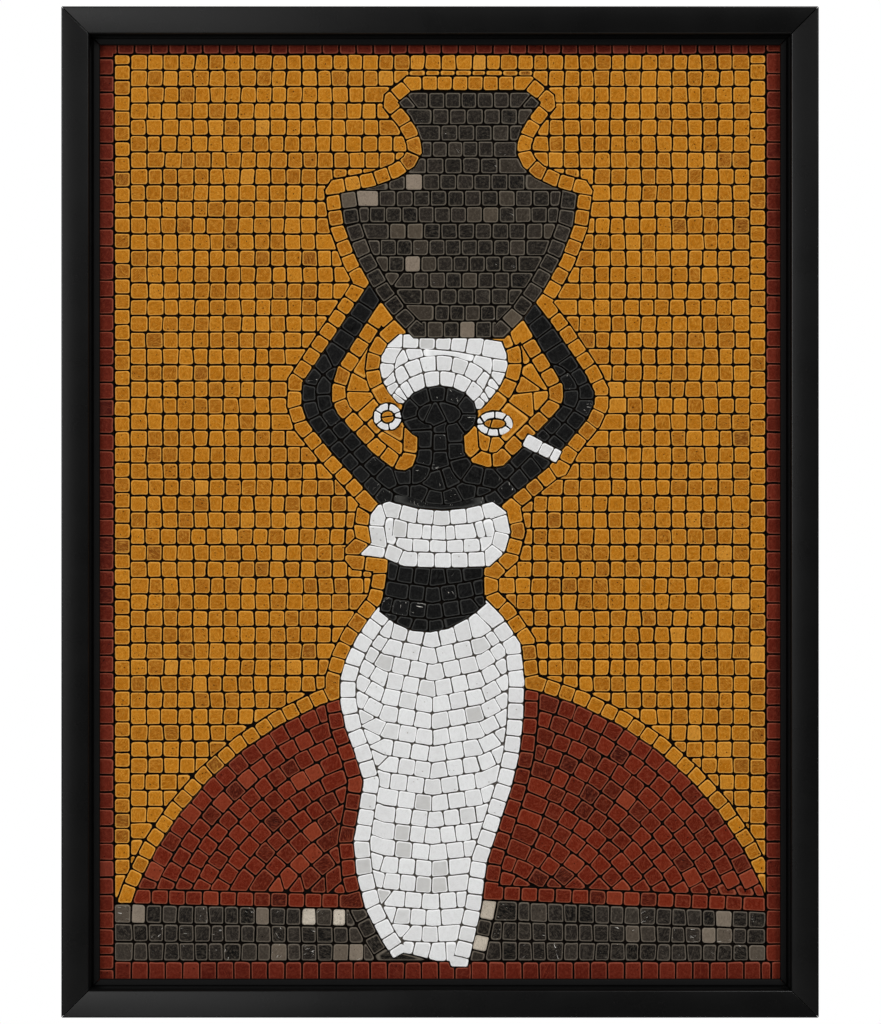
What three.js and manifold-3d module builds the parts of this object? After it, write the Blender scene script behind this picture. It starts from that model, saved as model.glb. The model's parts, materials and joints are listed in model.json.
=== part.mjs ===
// Framed stone mosaic for a wall: a jar bearer on a red hill against an ochre ground.
// Millimetres, +Z up, the back on the wall plane Y = 0 and the stones facing -Y.
//
// The stones are laid in fields. Each field is one solid: its courses stand on a thin
// mortar bed and are parted by sunk joints. Everything is drawn in the panel's own plane,
// x to the right and z up from the panel's centre, with depths measured out from the wall.

import * as THREE from 'three';
import { mergeVertices } from 'three/addons/utils/BufferGeometryUtils.js';
import Module from 'manifold-3d';

const wasm = await Module();
wasm.setup();

// ---------------------------------------------------------------- driving dimensions (mm)

// Frame, outside to inside: face, sunk channel, inner lip.
const FRAME_WIDTH = 504;
const FRAME_HEIGHT = 673;
const FRAME_DEPTH = 36;
const FACE_WIDTH = 18.4;
const FACE_FALL = 1.4; // the face is this much lower at its outer edge
const CHANNEL_WIDTH = 2.3;
const CHANNEL_FLOOR = 25.5;
const LIP_WIDTH = 4.3;
const LIP_FRONT = 28;
const LIP_BACK = 23.5;
const REBATE_WIDTH = 9;
const ARRIS = 1;
const MITRE_GAP = 0.3;

// Backing board in the rebate.
const BOARD_BACK = 4;
const BOARD_FRONT = 12.9;
const BOARD_CLEARANCE = 0.5;

// Stones on their mortar bed.
const BED_BACK = 13.2;
const STONE_FRONT = 23.2;
const JOINT = 0.8;
const JOINT_DEPTH = 1.6;
const COURSE = 10.3; // stone and joint, across a contour course
const ROW = 10.93; // stone and joint, up a straight row
const UNDER_LIP = 3; // the border course runs this far under the lip

// Picture fields.
const GROUND_HALF_WIDTH = 218;
const GROUND_TOP = 306;
const GROUND_BOTTOM = -300.5;
const HILL = { x: 6.5, z: -338.4, radius: 226 };
const BAND_TOP = -262;
const BAND_LINE = [[-218, BAND_TOP], [-55, -265.5], [27, -259.5], [218, -267.5]]; // its top edge
const BAND_ROWS = 3;

// Jar, half widths and heights above its base. Neck, rim and mouth stand off its axis.
const JAR = {
  x: 12.5,
  z: 116.5,
  neckShift: 7,
  base: 30,
  shoulder: 79,
  shoulderHeight: 96,
  neck: 31,
  neckHeight: 123,
  rim: 47,
  rimHeight: 157,
  mouth: 38,
  height: 164.5,
};

// Figure.
const HEAD = { x: -0.5, z: 65.5, halfWidth: 25.2, halfHeight: 18.5 };
const NECK_HALF_WIDTH = 13.6;
const SHOULDER_HEIGHT = 28;

// Each arm: its middle line, and its edges, down the outside and back up the inside.
const LEFT_ARM = {
  hand: [-39.5, 153],
  elbow: [-82.5, 75],
  shoulder: [-28, 10],
  outside: [[-45, 155], [-85.5, 95], [-91.5, 86], [-92, 72], [-88, 60], [-72, 40], [-33.5, -2]],
  inside: [[-26, 24], [-46.5, 40], [-69, 65], [-73, 74], [-73, 84], [-69, 97], [-34.5, 150]],
};
const RIGHT_ARM = {
  hand: [56.5, 139.5],
  elbow: [93, 75],
  shoulder: [34, 10],
  outside: [[62, 141], [78, 120], [97.5, 90.5], [102.5, 80], [102.5, 72], [98, 62.5], [71, 29.5], [33, -1]],
  inside: [[30, 17.5], [72.5, 60], [81.5, 70.5], [83, 77], [82.5, 85], [50, 139]],
};
const ARMBAND = { x: 68, z: 42.5, length: 25, width: 8.2, turn: -28 };
const EARRINGS = {
  left: { x: -35, z: 63.5, halfWidth: 9.4, halfHeight: 9 },
  right: { x: 36.6, z: 59, halfWidth: 12.2, halfHeight: 8.2 },
};
const HOOP_WIDTH = 4.4;
const SKIRT_TOP = -80;
const SKIRT_SAG = 15;
const SKIRT_ROWS = 19;
const FLAT_ROW = 26; // the sag would be used up at this row

// The wall fixing is this far below the frame's top edge.
const FIXING_BELOW_TOP = 8;

// Corners of offset lines: the sharpest that is mitred, and the largest turn in one facet.
const SHARPEST_MITRE = THREE.MathUtils.degToRad(60);
const FAN_STEP = THREE.MathUtils.degToRad(50);

// Round stretches keep within this of the true curve.
const CHORD_ERROR = 0.5;

// Corners that the cuts leave closer than this are one corner.
const WELD = 0.04;

// A face lower than this over its longest side is a sliver.
const SLIVER = 0.02;

// ---------------------------------------------------------------- layers, back and front

const BODY = [BED_BACK, STONE_FRONT];
const THROUGH = [BED_BACK - 1, STONE_FRONT + 1];
const SUNK = [STONE_FRONT - JOINT_DEPTH, STONE_FRONT + 1];

// ---------------------------------------------------------------- solids

function solidFrom(geometry) {
  const bare = geometry.clone();
  bare.deleteAttribute('normal');
  bare.deleteAttribute('uv');
  const merged = mergeVertices(bare);
  const vertProperties = new Float32Array(merged.attributes.position.array);
  const triVerts = new Uint32Array(merged.index.array);
  return new wasm.Manifold(new wasm.Mesh({ numProp: 3, vertProperties, triVerts }));
}

// Each face starts at its longest side.
function longestSideFirst(corners, [a, b, c]) {
  const [ab, bc, ca] = [[a, b], [b, c], [c, a]].map(([from, to]) => corners[from].distanceTo(corners[to]));
  if (ab >= bc && ab >= ca) {
    return [a, b, c];
  }
  return bc >= ca ? [b, c, a] : [c, a, b];
}

function faceHeight(corners, [a, b, c]) {
  const side = corners[b].clone().sub(corners[a]);
  const toApex = corners[c].clone().sub(corners[a]);
  return side.clone().cross(toApex).length() / side.length();
}

// Each sliver and the face beyond its longest side are parted by their other diagonal instead,
// where that leaves both of them higher.
function swapSlivers(corners, faces) {
  for (let again = true; again;) {
    again = false;
    const slivers = faces.filter((face) => faceHeight(corners, face) < SLIVER);
    slivers.sort((one, other) => (
      corners[other[0]].distanceTo(corners[other[1]]) - corners[one[0]].distanceTo(corners[one[1]])
    ));
    for (const sliver of slivers) {
      const [from, to, apex] = sliver;
      const beyond = faces.find((face) => face !== sliver && face.includes(from) && face.includes(to));
      const farApex = beyond.find((corner) => corner !== from && corner !== to);
      const swapped = [[from, farApex, apex], [farApex, to, apex]]
        .map((face) => longestSideFirst(corners, face));
      const lowest = Math.min(...[sliver, beyond].map((face) => faceHeight(corners, face)));
      if (swapped.every((face) => faceHeight(corners, face) > lowest + WELD * SLIVER)) {
        faces[faces.indexOf(sliver)] = swapped[0];
        faces[faces.indexOf(beyond)] = swapped[1];
        again = true;
        break;
      }
    }
  }
  return faces;
}

// The solid's surface, with corners closer than WELD made one and faces lost by that left out.
function geometryFrom(solid) {
  const mesh = solid.getMesh();
  const corners = [];
  const cornerOf = [];
  for (let i = 0; i < mesh.vertProperties.length; i += 3) {
    const point = new THREE.Vector3().fromArray(mesh.vertProperties, i);
    const near = corners.findIndex((corner) => corner.distanceToSquared(point) < WELD * WELD);
    cornerOf.push(near < 0 ? corners.push(point) - 1 : near);
  }
  const faces = [];
  for (let i = 0; i < mesh.triVerts.length; i += 3) {
    const [a, b, c] = Array.from(mesh.triVerts.slice(i, i + 3), (vertex) => cornerOf[vertex]);
    if (a !== b && b !== c && c !== a) {
      faces.push(longestSideFirst(corners, [a, b, c]));
    }
  }
  const geometry = new THREE.BufferGeometry().setFromPoints(corners);
  geometry.setIndex(swapSlivers(corners, faces).flat());
  geometry.computeVertexNormals();
  return geometry;
}

// A flat outline in the panel's plane, given a back and a front depth.
function slab(outline, [back, front]) {
  const shape = new THREE.Shape(outline);
  const geometry = new THREE.ExtrudeGeometry(shape, { depth: front - back, bevelEnabled: false });
  geometry.rotateX(Math.PI / 2);
  geometry.translate(0, -back, 0);
  return solidFrom(geometry);
}

function rectangle(left, bottom, right, top) {
  return [
    new THREE.Vector2(left, bottom),
    new THREE.Vector2(right, bottom),
    new THREE.Vector2(right, top),
    new THREE.Vector2(left, top),
  ];
}

// Everything within a distance of one side of a line, to its right where side is 1. Each
// stretch is a bar. At a corner that turns away from it the bar runs on to the mitre, and a
// corner that is too sharp for a mitre gets a rounded fan.
function flank(points, side, distance, layer, closed) {
  const count = points.length;
  const stretches = closed ? count : count - 1;
  const normals = [];
  for (let i = 0; i < stretches; i += 1) {
    const along = points[(i + 1) % count].clone().sub(points[i]).normalize();
    normals.push(new THREE.Vector2(along.y, -along.x).multiplyScalar(side));
  }
  const pieces = [];
  for (let i = 0; i < stretches; i += 1) {
    const normal = normals[i];
    const isFirst = !closed && i === 0;
    const isLast = !closed && i === stretches - 1;
    const before = isFirst ? normal : normals[(i + stretches - 1) % stretches];
    const after = isLast ? normal : normals[(i + 1) % stretches];
    const start = points[i];
    const end = points[(i + 1) % count];
    pieces.push(slab([
      start,
      start.clone().addScaledVector(cornerReach(before, normal, side), distance),
      end.clone().addScaledVector(cornerReach(normal, after, side, true), distance),
      end,
    ], layer));
    const turn = turnBetween(normal, after) * side;
    if (turn > SHARPEST_MITRE) {
      pieces.push(slab(fan(end, normal, turn * side, distance), layer));
    }
  }
  return wasm.Manifold.union(pieces);
}

function turnBetween(before, after) {
  return Math.atan2(before.cross(after), before.dot(after));
}

// From a corner to the outer edge of the bar that ends there, for a distance of one.
function cornerReach(before, after, side, atEnd = false) {
  const turn = turnBetween(before, after) * side;
  const own = atEnd ? before : after;
  if (turn <= 0 || turn > SHARPEST_MITRE) {
    return own;
  }
  return before.clone().add(after).normalize().divideScalar(Math.cos(turn / 2));
}

// The outer side of a sharp corner, rounded in as few steps as its turn needs.
function fan(corner, normal, turn, distance) {
  const steps = Math.ceil(Math.abs(turn) / FAN_STEP);
  const tipDistance = distance / Math.cos(turn / steps / 2);
  const centre = new THREE.Vector2();
  const rim = [normal.clone().multiplyScalar(distance)];
  for (let i = 0; i < steps; i += 1) {
    const angle = ((i + 0.5) * turn) / steps;
    rim.push(normal.clone().rotateAround(centre, angle).multiplyScalar(tipDistance));
  }
  rim.push(normal.clone().rotateAround(centre, turn).multiplyScalar(distance));
  return [corner.clone(), ...rim.map((point) => point.add(corner))];
}

// Everything within a distance of a line, on both sides of it.
function around(points, distance, layer, closed) {
  const sides = [1, -1].map((side) => flank(points, side, distance, layer, closed));
  return wasm.Manifold.union(sides);
}

// Each outline with everything within a distance of it.
function grown(outlines, distance, layer) {
  return outlines.map((outline) => {
    const outwards = THREE.ShapeUtils.isClockWise(outline) ? -1 : 1;
    return slab(outline, layer).add(flank(outline, outwards, distance, layer, true));
  });
}

function without(solid, ...cuts) {
  return cuts.flat().reduce((rest, cut) => rest.subtract(cut), solid);
}

// The joint that runs at a distance outside some outlines.
function jointOutside(outlines, distance) {
  const outer = wasm.Manifold.union(grown(outlines, distance + JOINT / 2, SUNK));
  return without(outer, grown(outlines, distance - JOINT / 2, THROUGH));
}

// The joint that runs at a distance from both sides of a line.
function jointBeside(points, distance, closed) {
  const outer = around(points, distance + JOINT / 2, SUNK, closed);
  return outer.subtract(around(points, distance - JOINT / 2, THROUGH, closed));
}

// The joint that runs along a line.
function jointAlong(points) {
  const normals = points.slice(1).map((end, i) => {
    const along = end.clone().sub(points[i]).normalize();
    return new THREE.Vector2(along.y, -along.x);
  });
  const right = points.map((point, i) => {
    const before = normals[Math.max(i - 1, 0)];
    const after = normals[Math.min(i, normals.length - 1)];
    const middle = before.clone().add(after).normalize();
    return middle.multiplyScalar(JOINT / 2 / middle.dot(after));
  });
  const sides = points.map((point, i) => point.clone().add(right[i]));
  const others = points.map((point, i) => point.clone().sub(right[i])).reverse();
  return slab([...sides, ...others], SUNK);
}

function level(left, right, z) {
  return [new THREE.Vector2(left, z), new THREE.Vector2(right, z)];
}

// ---------------------------------------------------------------- outlines

function vector([x, z]) {
  return new THREE.Vector2(x, z);
}

function spline(points, divisions) {
  return new THREE.SplineCurve(points.map(vector)).getPoints(divisions);
}

function ellipse({ x, z, halfWidth, halfHeight }, divisions) {
  return new THREE.EllipseCurve(x, z, halfWidth, halfHeight).getPoints(divisions).slice(1);
}

function circle({ x, z, radius }) {
  const divisions = Math.ceil(Math.PI / Math.acos(1 - CHORD_ERROR / radius));
  return ellipse({ x, z, halfWidth: radius, halfHeight: radius }, divisions);
}

// One side of the jar: its flank from base to shoulder, and the rest up to the mouth.
function jarFlank(side) {
  const corner = (halfWidth, height) => new THREE.Vector2(JAR.x + side * halfWidth, JAR.z + height);
  const flank = new THREE.CubicBezierCurve(
    corner(JAR.base, 0),
    corner(JAR.base + 20, 16),
    corner(JAR.shoulder + 1, JAR.shoulderHeight - 32),
    corner(JAR.shoulder, JAR.shoulderHeight),
  );
  return flank.getPoints(5);
}

function jarUpperSide(side) {
  const middle = JAR.x + JAR.neckShift;
  const neck = middle + side * JAR.neck;
  const neckHeight = JAR.z + JAR.neckHeight;
  const path = new THREE.Path();
  path.moveTo(JAR.x + side * JAR.shoulder, JAR.z + JAR.shoulderHeight);
  path.quadraticCurveTo(neck + side * 5, JAR.z + JAR.shoulderHeight + 7, neck, neckHeight);
  path.quadraticCurveTo(
    neck - side, neckHeight + 15,
    middle + side * JAR.rim, JAR.z + JAR.rimHeight,
  );
  path.lineTo(middle + side * JAR.mouth, JAR.z + JAR.height);
  return path.getPoints(4).slice(1);
}

function jarOutline() {
  const left = [...jarFlank(-1), ...jarUpperSide(-1)];
  return [...jarFlank(1), ...jarUpperSide(1), ...left.reverse()];
}

function wrapOutline() {
  const shape = new THREE.Shape();
  shape.moveTo(-27, 118.5);
  shape.quadraticCurveTo(8, 119.5, 41, 113.5);
  shape.bezierCurveTo(50, 97, 42, 84, 27, 69);
  shape.lineTo(-28, 73);
  shape.bezierCurveTo(-42, 86, -46, 106, -27, 118.5);
  return shape.getPoints(6);
}

function armOutline(arm) {
  return [...arm.outside, ...arm.inside].map(vector);
}

// Neck, shoulders and chest, down behind the bandeau.
function torsoOutline() {
  const shape = new THREE.Shape();
  const left = HEAD.x - NECK_HALF_WIDTH;
  const right = HEAD.x + NECK_HALF_WIDTH + 2;
  const chin = HEAD.z - 14;
  shape.moveTo(left, chin);
  shape.quadraticCurveTo(left + 1, SHOULDER_HEIGHT, left - 9, SHOULDER_HEIGHT - 1);
  shape.quadraticCurveTo(left - 17, SHOULDER_HEIGHT - 1, left - 23, SHOULDER_HEIGHT + 3);
  shape.lineTo(-38, 4);
  shape.lineTo(-36, -12);
  shape.lineTo(38, -12);
  shape.lineTo(38, 4);
  shape.lineTo(right + 30, SHOULDER_HEIGHT + 3);
  shape.quadraticCurveTo(right + 24, SHOULDER_HEIGHT + 1, right + 16, SHOULDER_HEIGHT + 1);
  shape.quadraticCurveTo(right - 2, SHOULDER_HEIGHT + 3, right, chin);
  return shape.getPoints(3);
}

function armbandOutline() {
  const { x, z, length, width, turn } = ARMBAND;
  const angle = THREE.MathUtils.degToRad(turn);
  const place = new THREE.Vector2(x, z);
  const outline = rectangle(-length / 2, -width / 2, length / 2, width / 2);
  return outline.map((point) => point.rotateAround(new THREE.Vector2(), angle).add(place));
}

// A cloth band with round ends and the tip of its knot on the left.
function bandeauOutline() {
  const shape = new THREE.Shape();
  shape.moveTo(-34, 6.8);
  shape.quadraticCurveTo(2, -5.5, 35, 6.5);
  shape.bezierCurveTo(51, 5, 51, -30, 33, -36);
  shape.quadraticCurveTo(4, -38, -24, -36);
  shape.lineTo(-37, -30.5);
  shape.lineTo(-53.5, -28.5);
  shape.lineTo(-45.5, -20.5);
  shape.bezierCurveTo(-50, -6, -46, 6, -34, 6.8);
  return shape.getPoints(4);
}

function waistOutline() {
  const shape = new THREE.Shape();
  shape.moveTo(-34, -30);
  shape.quadraticCurveTo(-35, -52, -40.5, -66);
  shape.quadraticCurveTo(-8, -96, 30, -61.5);
  shape.quadraticCurveTo(27, -50, 30, -30);
  return shape.getPoints(6);
}

// Waist, hip, thigh, knee, calf, ankle and hem on the left, and back up on the right.
const HEM = GROUND_BOTTOM + JOINT;
const TOE = HEM - 3.8; // the last stone of the hem reaches into the border course
const SKIRT_LEFT = [
  [-39.5, -62], [-55.5, -84], [-66.5, -112], [-63, -144],
  [-51, -180], [-57.5, -220], [-50, -264], [-31, -298],
];
const SKIRT_HEM = [[-24.5, -294], [-2, HEM], [6.5, HEM], [7.5, TOE], [18, TOE]];
const SKIRT_RIGHT = [
  [19, HEM], [27.5, -262], [31.5, -232], [48, -182], [55, -140], [53.5, -88], [29.4, -58],
];

// Each stretch of a skirt side is two facets.
function skirtSide(points) {
  return spline(points, 2 * (points.length - 1));
}

function skirtOutline() {
  return [...skirtSide(SKIRT_LEFT), ...SKIRT_HEM.map(vector), ...skirtSide(SKIRT_RIGHT)];
}

function bandOutline() {
  return [...level(-edge, edge, HEM), ...BAND_LINE.map(vector).reverse()];
}

// The side of the armband that the elbow and the forearm are on.
function beyondArmbandOutline() {
  const angle = THREE.MathUtils.degToRad(ARMBAND.turn);
  const place = new THREE.Vector2(ARMBAND.x, ARMBAND.z);
  const reach = ARMBAND.length * 3;
  const outline = rectangle(-reach, 0, reach, 2 * reach);
  return outline.map((point) => point.rotateAround(new THREE.Vector2(), angle).add(place));
}

// The ground seen between the raised arms, out to the middle of the arms.
function armLoopOutline(arm) {
  const middle = [HEAD.x, arm.shoulder[1]];
  return [arm.hand, arm.elbow, arm.shoulder, middle, [HEAD.x, arm.hand[1]]].map(vector);
}

const HOOPS = {
  left: ellipse(EARRINGS.left, 18),
  right: ellipse(EARRINGS.right, 18),
};

function hoopHole({ x, z, halfWidth, halfHeight }) {
  const hole = { x, z, halfWidth: halfWidth - HOOP_WIDTH, halfHeight: halfHeight - HOOP_WIDTH };
  return ellipse(hole, 14);
}

const jar = jarOutline();
const wrap = wrapOutline();
const head = ellipse(HEAD, 16);
const torso = torsoOutline();
const leftArm = armOutline(LEFT_ARM);
const rightArm = armOutline(RIGHT_ARM);
const armband = armbandOutline();
const beyondArmband = beyondArmbandOutline();
const bandeau = bandeauOutline();
const waist = waistOutline();
const skirt = skirtOutline();
const figure = [jar, wrap, head, torso, leftArm, rightArm, armband, bandeau, waist, skirt];
const earrings = [HOOPS.left, HOOPS.right];

const edge = GROUND_HALF_WIDTH - JOINT;
const hill = circle(HILL).filter((point) => point.y > BAND_TOP - 40);
const band = bandOutline();
const loops = [armLoopOutline(LEFT_ARM), armLoopOutline(RIGHT_ARM)];

// ---------------------------------------------------------------- fields of stones

function borderCourse() {
  const halfWidth = FRAME_WIDTH / 2 - FACE_WIDTH - CHANNEL_WIDTH - LIP_WIDTH + UNDER_LIP;
  const halfHeight = halfWidth + (FRAME_HEIGHT - FRAME_WIDTH) / 2;
  const outside = slab(rectangle(-halfWidth, -halfHeight, halfWidth, halfHeight), BODY);
  const inside = rectangle(-GROUND_HALF_WIDTH, GROUND_BOTTOM, GROUND_HALF_WIDTH, GROUND_TOP);
  return without(outside, slab(inside, THROUGH), grown([skirt], JOINT, THROUGH));
}

// Straight rows inside an edge column, and one course round the picture and along the hill.
function ochreGround() {
  const picture = [...figure, hill, ...loops];
  const field = slab(rectangle(-edge, BAND_TOP - JOINT, edge, GROUND_TOP - JOINT), BODY);
  const inner = edge - COURSE;
  const joints = [];
  for (let z = GROUND_TOP - ROW; z > BAND_TOP; z -= ROW) {
    joints.push(jointAlong(level(-inner, inner, z)));
  }
  for (const x of [-inner, inner]) {
    joints.push(jointAlong([vector([x, BAND_TOP - 9]), vector([x, GROUND_TOP + 5])]));
  }
  const straight = without(wasm.Manifold.union(joints), grown(picture, COURSE, THROUGH));
  return without(
    field,
    grown([...figure, hill, band], JOINT, THROUGH),
    wasm.Manifold.union(loops.map((loop) => slab(loop, THROUGH))),
    jointOutside(picture, COURSE),
    straight,
  );
}

function insideArms(arm) {
  const field = slab(armLoopOutline(arm), BODY);
  return without(
    field,
    grown([...figure, ...earrings], JOINT, THROUGH),
    jointOutside([jar, wrap, leftArm, rightArm, torso], COURSE),
  );
}

// Concentric courses under the hill's brow, with one course laid along the skirt.
function hillSide(side) {
  const half = slab(rectangle(0, BAND_TOP - 12, side * edge, 0), BODY);
  const field = slab(hill, BODY).intersect(half);
  const arcs = [];
  for (let k = 1; HILL.radius - k * ROW > HILL.radius / 3; k += 1) {
    const arc = circle({ ...HILL, radius: HILL.radius - k * ROW });
    arcs.push(jointAlong(arc.filter((point) => point.y > BAND_TOP - 12)));
  }
  const courses = without(
    wasm.Manifold.union(arcs),
    grown([skirt, band], COURSE, THROUGH),
  );
  return without(
    field,
    grown([...figure, band], JOINT, THROUGH),
    jointOutside([skirt, band], COURSE),
    courses,
  );
}

function groundBand(side) {
  const half = slab(rectangle(0, GROUND_BOTTOM - 5, side * edge, BAND_TOP + 5), BODY);
  const field = slab(band, BODY).intersect(half);
  const rows = [];
  for (let k = 1; k < BAND_ROWS; k += 1) {
    const row = BAND_LINE.map(([x, z]) => [x, THREE.MathUtils.lerp(z, HEM, k / BAND_ROWS)]);
    rows.push(jointAlong(row.map(vector)));
  }
  const courses = without(wasm.Manifold.union(rows), grown([skirt], COURSE, THROUGH));
  return without(
    field,
    grown([skirt], JOINT, THROUGH),
    jointOutside([skirt], COURSE),
    courses,
  );
}

function jarField() {
  const rows = [];
  for (let z = JAR.z + ROW; z < JAR.z + JAR.height; z += ROW) {
    rows.push(jointAlong(level(-70, 105, z)));
  }
  const pastShoulder = JAR.z + JAR.shoulderHeight + 3 * COURSE;
  const sides = [1, -1].map((side) => {
    return [...jarFlank(side), vector([JAR.x + side * JAR.shoulder, pastShoulder])];
  });
  const kept = wasm.Manifold.union(sides.map((line) => around(line, COURSE, THROUGH, false)));
  const besides = sides.map((line) => jointBeside(line, COURSE, false));
  return without(
    slab(jar, BODY),
    without(wasm.Manifold.union(rows), kept),
    wasm.Manifold.union(besides),
  );
}

function headWrap() {
  const bow = [JAR.z - COURSE - 1, JAR.z - 2 * COURSE - 1];
  const rows = bow.map((z) => jointAlong(spline([[-32, z - 3], [3, z + 3], [36, z - 6]], 4)));
  return without(
    slab(wrap, BODY),
    grown([jar, head], JOINT, THROUGH),
    wasm.Manifold.union(rows),
  );
}

// Head, neck, chest and arms, with a ring course in the head and split upper arms.
function figureUpper() {
  const halfWidth = HEAD.halfWidth - COURSE;
  const halfHeight = HEAD.halfHeight - COURSE;
  const upperRightArm = without(slab(rightArm, BODY), slab(beyondArmband, THROUGH));
  const rest = [head, torso, leftArm].map((outline) => slab(outline, BODY));
  return without(
    wasm.Manifold.union([upperRightArm, ...rest]),
    grown([jar, armband, bandeau], JOINT, THROUGH),
    jointAlong(ellipse({ ...HEAD, halfWidth, halfHeight }, 12)),
    jointAlong([LEFT_ARM.elbow, LEFT_ARM.shoulder].map(vector)),
    jointAlong([RIGHT_ARM.elbow, RIGHT_ARM.shoulder].map(vector)),
    jointAlong(spline([[-32, 20], [0, 14], [38, 20]], 4)),
    jointAlong(spline([[-26, 9.5], [0, 4], [34, 9.5]], 4)),
  );
}

function rightForearm() {
  const forearm = slab(rightArm, BODY).intersect(slab(beyondArmband, THROUGH));
  return without(forearm, grown([jar, armband], JOINT, THROUGH));
}

function bandeauField() {
  const row = jointAlong(spline([[-40, -16], [2, -19], [40, -16]], 4));
  return without(
    slab(bandeau, BODY),
    jointBeside(bandeau, COURSE * 0.95, true),
    without(row, around(bandeau, COURSE, THROUGH, true)),
  );
}

function waistField() {
  const heights = [-47, -58, -69];
  const rows = heights.map((z) => jointAlong(spline([[-42, z + 3], [-5, z - 3], [34, z + 4]], 4)));
  return without(slab(waist, BODY), grown([bandeau], JOINT, THROUGH), ...rows);
}

// Hanging courses that flatten towards the hem, between a course down each side.
function skirtField() {
  const rows = [];
  for (let k = 1; k <= SKIRT_ROWS; k += 1) {
    const z = SKIRT_TOP - k * ROW;
    const sag = 2 * SKIRT_SAG * (1 - k / FLAT_ROW);
    const ends = [[-70, z + sag], [-5, z - sag], [60, z + sag]].map(vector);
    rows.push(jointAlong(new THREE.QuadraticBezierCurve(...ends).getPoints(4)));
  }
  const sides = [SKIRT_LEFT, SKIRT_RIGHT].map(skirtSide);
  const kept = wasm.Manifold.union(sides.map((line) => around(line, COURSE, THROUGH, false)));
  const besides = sides.map((line) => jointBeside(line, COURSE, false));
  return without(
    slab(skirt, BODY),
    grown([waist], JOINT, THROUGH),
    without(wasm.Manifold.union(rows), kept),
    ...besides,
  );
}

function hoop(outline, earring) {
  return without(slab(outline, BODY), slab(hoopHole(earring), THROUGH), grown([head], JOINT, THROUGH));
}

function hoopInfill(earring) {
  const hole = hoopHole(earring);
  const rim = around(hole, JOINT, THROUGH, true);
  return without(slab(hole, BODY), rim, grown([head], JOINT, THROUGH));
}

// ---------------------------------------------------------------- frame and board

// Section of the moulding: x inwards from the outer edge, y out from the wall.
function railSection() {
  const lipOutside = FACE_WIDTH + CHANNEL_WIDTH;
  const inside = lipOutside + LIP_WIDTH;
  const outerFront = FRAME_DEPTH - FACE_FALL;
  const section = new THREE.Shape();
  section.moveTo(0, 0);
  section.lineTo(0, outerFront - ARRIS);
  section.quadraticCurveTo(0, outerFront, ARRIS, outerFront);
  section.lineTo(FACE_WIDTH - ARRIS, FRAME_DEPTH);
  section.quadraticCurveTo(FACE_WIDTH, FRAME_DEPTH, FACE_WIDTH, FRAME_DEPTH - ARRIS);
  section.lineTo(FACE_WIDTH, CHANNEL_FLOOR);
  section.lineTo(lipOutside, CHANNEL_FLOOR);
  section.lineTo(lipOutside, LIP_FRONT - ARRIS / 2);
  section.lineTo(lipOutside + ARRIS / 2, LIP_FRONT);
  section.lineTo(inside - ARRIS / 2, LIP_FRONT);
  section.lineTo(inside, LIP_FRONT - ARRIS / 2);
  section.lineTo(inside, LIP_BACK);
  section.lineTo(inside - REBATE_WIDTH, LIP_BACK);
  section.lineTo(inside - REBATE_WIDTH, 0);
  return section;
}

// A rail of the moulding, mitred at both ends, drawn as the top one: z is half the span.
function railGeometry(length, halfSpan) {
  const unitLength = { depth: 1, bevelEnabled: false, curveSegments: 3 };
  const geometry = new THREE.ExtrudeGeometry(railSection(), unitLength);
  const position = geometry.attributes.position;
  const mitreSetBack = (MITRE_GAP / 2) * Math.SQRT2;
  for (let i = 0; i < position.count; i += 1) {
    const inwards = position.getX(i);
    const outwards = position.getY(i);
    const end = position.getZ(i) > 0.5 ? -1 : 1;
    position.setXYZ(i, end * (length / 2 - inwards - mitreSetBack), -outwards, halfSpan - inwards);
  }
  geometry.computeVertexNormals();
  return geometry;
}

function boardGeometry() {
  const rebate = FACE_WIDTH + CHANNEL_WIDTH + LIP_WIDTH - REBATE_WIDTH + BOARD_CLEARANCE;
  const thickness = BOARD_FRONT - BOARD_BACK;
  return new THREE.BoxGeometry(FRAME_WIDTH - 2 * rebate, thickness, FRAME_HEIGHT - 2 * rebate);
}

// ---------------------------------------------------------------- finishes

function finish(color, roughness) {
  return new THREE.MeshStandardMaterial({ color, roughness, metalness: 0 });
}

const FINISHES = {
  lacquer: () => finish(0x232324, 0.45),
  board: () => finish(0xa98a62, 0.8),
  redMarble: () => finish(0x7a2c1b, 0.5),
  ochreMarble: () => finish(0xc07a1f, 0.5),
  brownMarble: () => finish(0x4a423a, 0.5),
  blackMarble: () => finish(0x222222, 0.45),
  whiteMarble: () => finish(0xe4e4e2, 0.5),
};

// ---------------------------------------------------------------- the panel

const panel = new THREE.Group();
panel.name = 'mosaic_panel';

function add(parent, name, geometry, material) {
  const mesh = new THREE.Mesh(geometry, material);
  mesh.name = name;
  parent.add(mesh);
  return mesh;
}

const frame = new THREE.Group();
const RAILS = [
  { name: 'frame_rail_top', turn: 0, length: FRAME_WIDTH, span: FRAME_HEIGHT },
  { name: 'frame_rail_right', turn: 1, length: FRAME_HEIGHT, span: FRAME_WIDTH },
  { name: 'frame_rail_bottom', turn: 2, length: FRAME_WIDTH, span: FRAME_HEIGHT },
  { name: 'frame_rail_left', turn: 3, length: FRAME_HEIGHT, span: FRAME_WIDTH },
];
for (const { name, turn, length, span } of RAILS) {
  const rail = add(frame, name, railGeometry(length, span / 2), FINISHES.lacquer());
  rail.rotation.y = (turn * Math.PI) / 2;
}
panel.add(frame);

const board = add(panel, 'backing_board', boardGeometry(), FINISHES.board());
board.position.y = -(BOARD_BACK + BOARD_FRONT) / 2;

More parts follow.
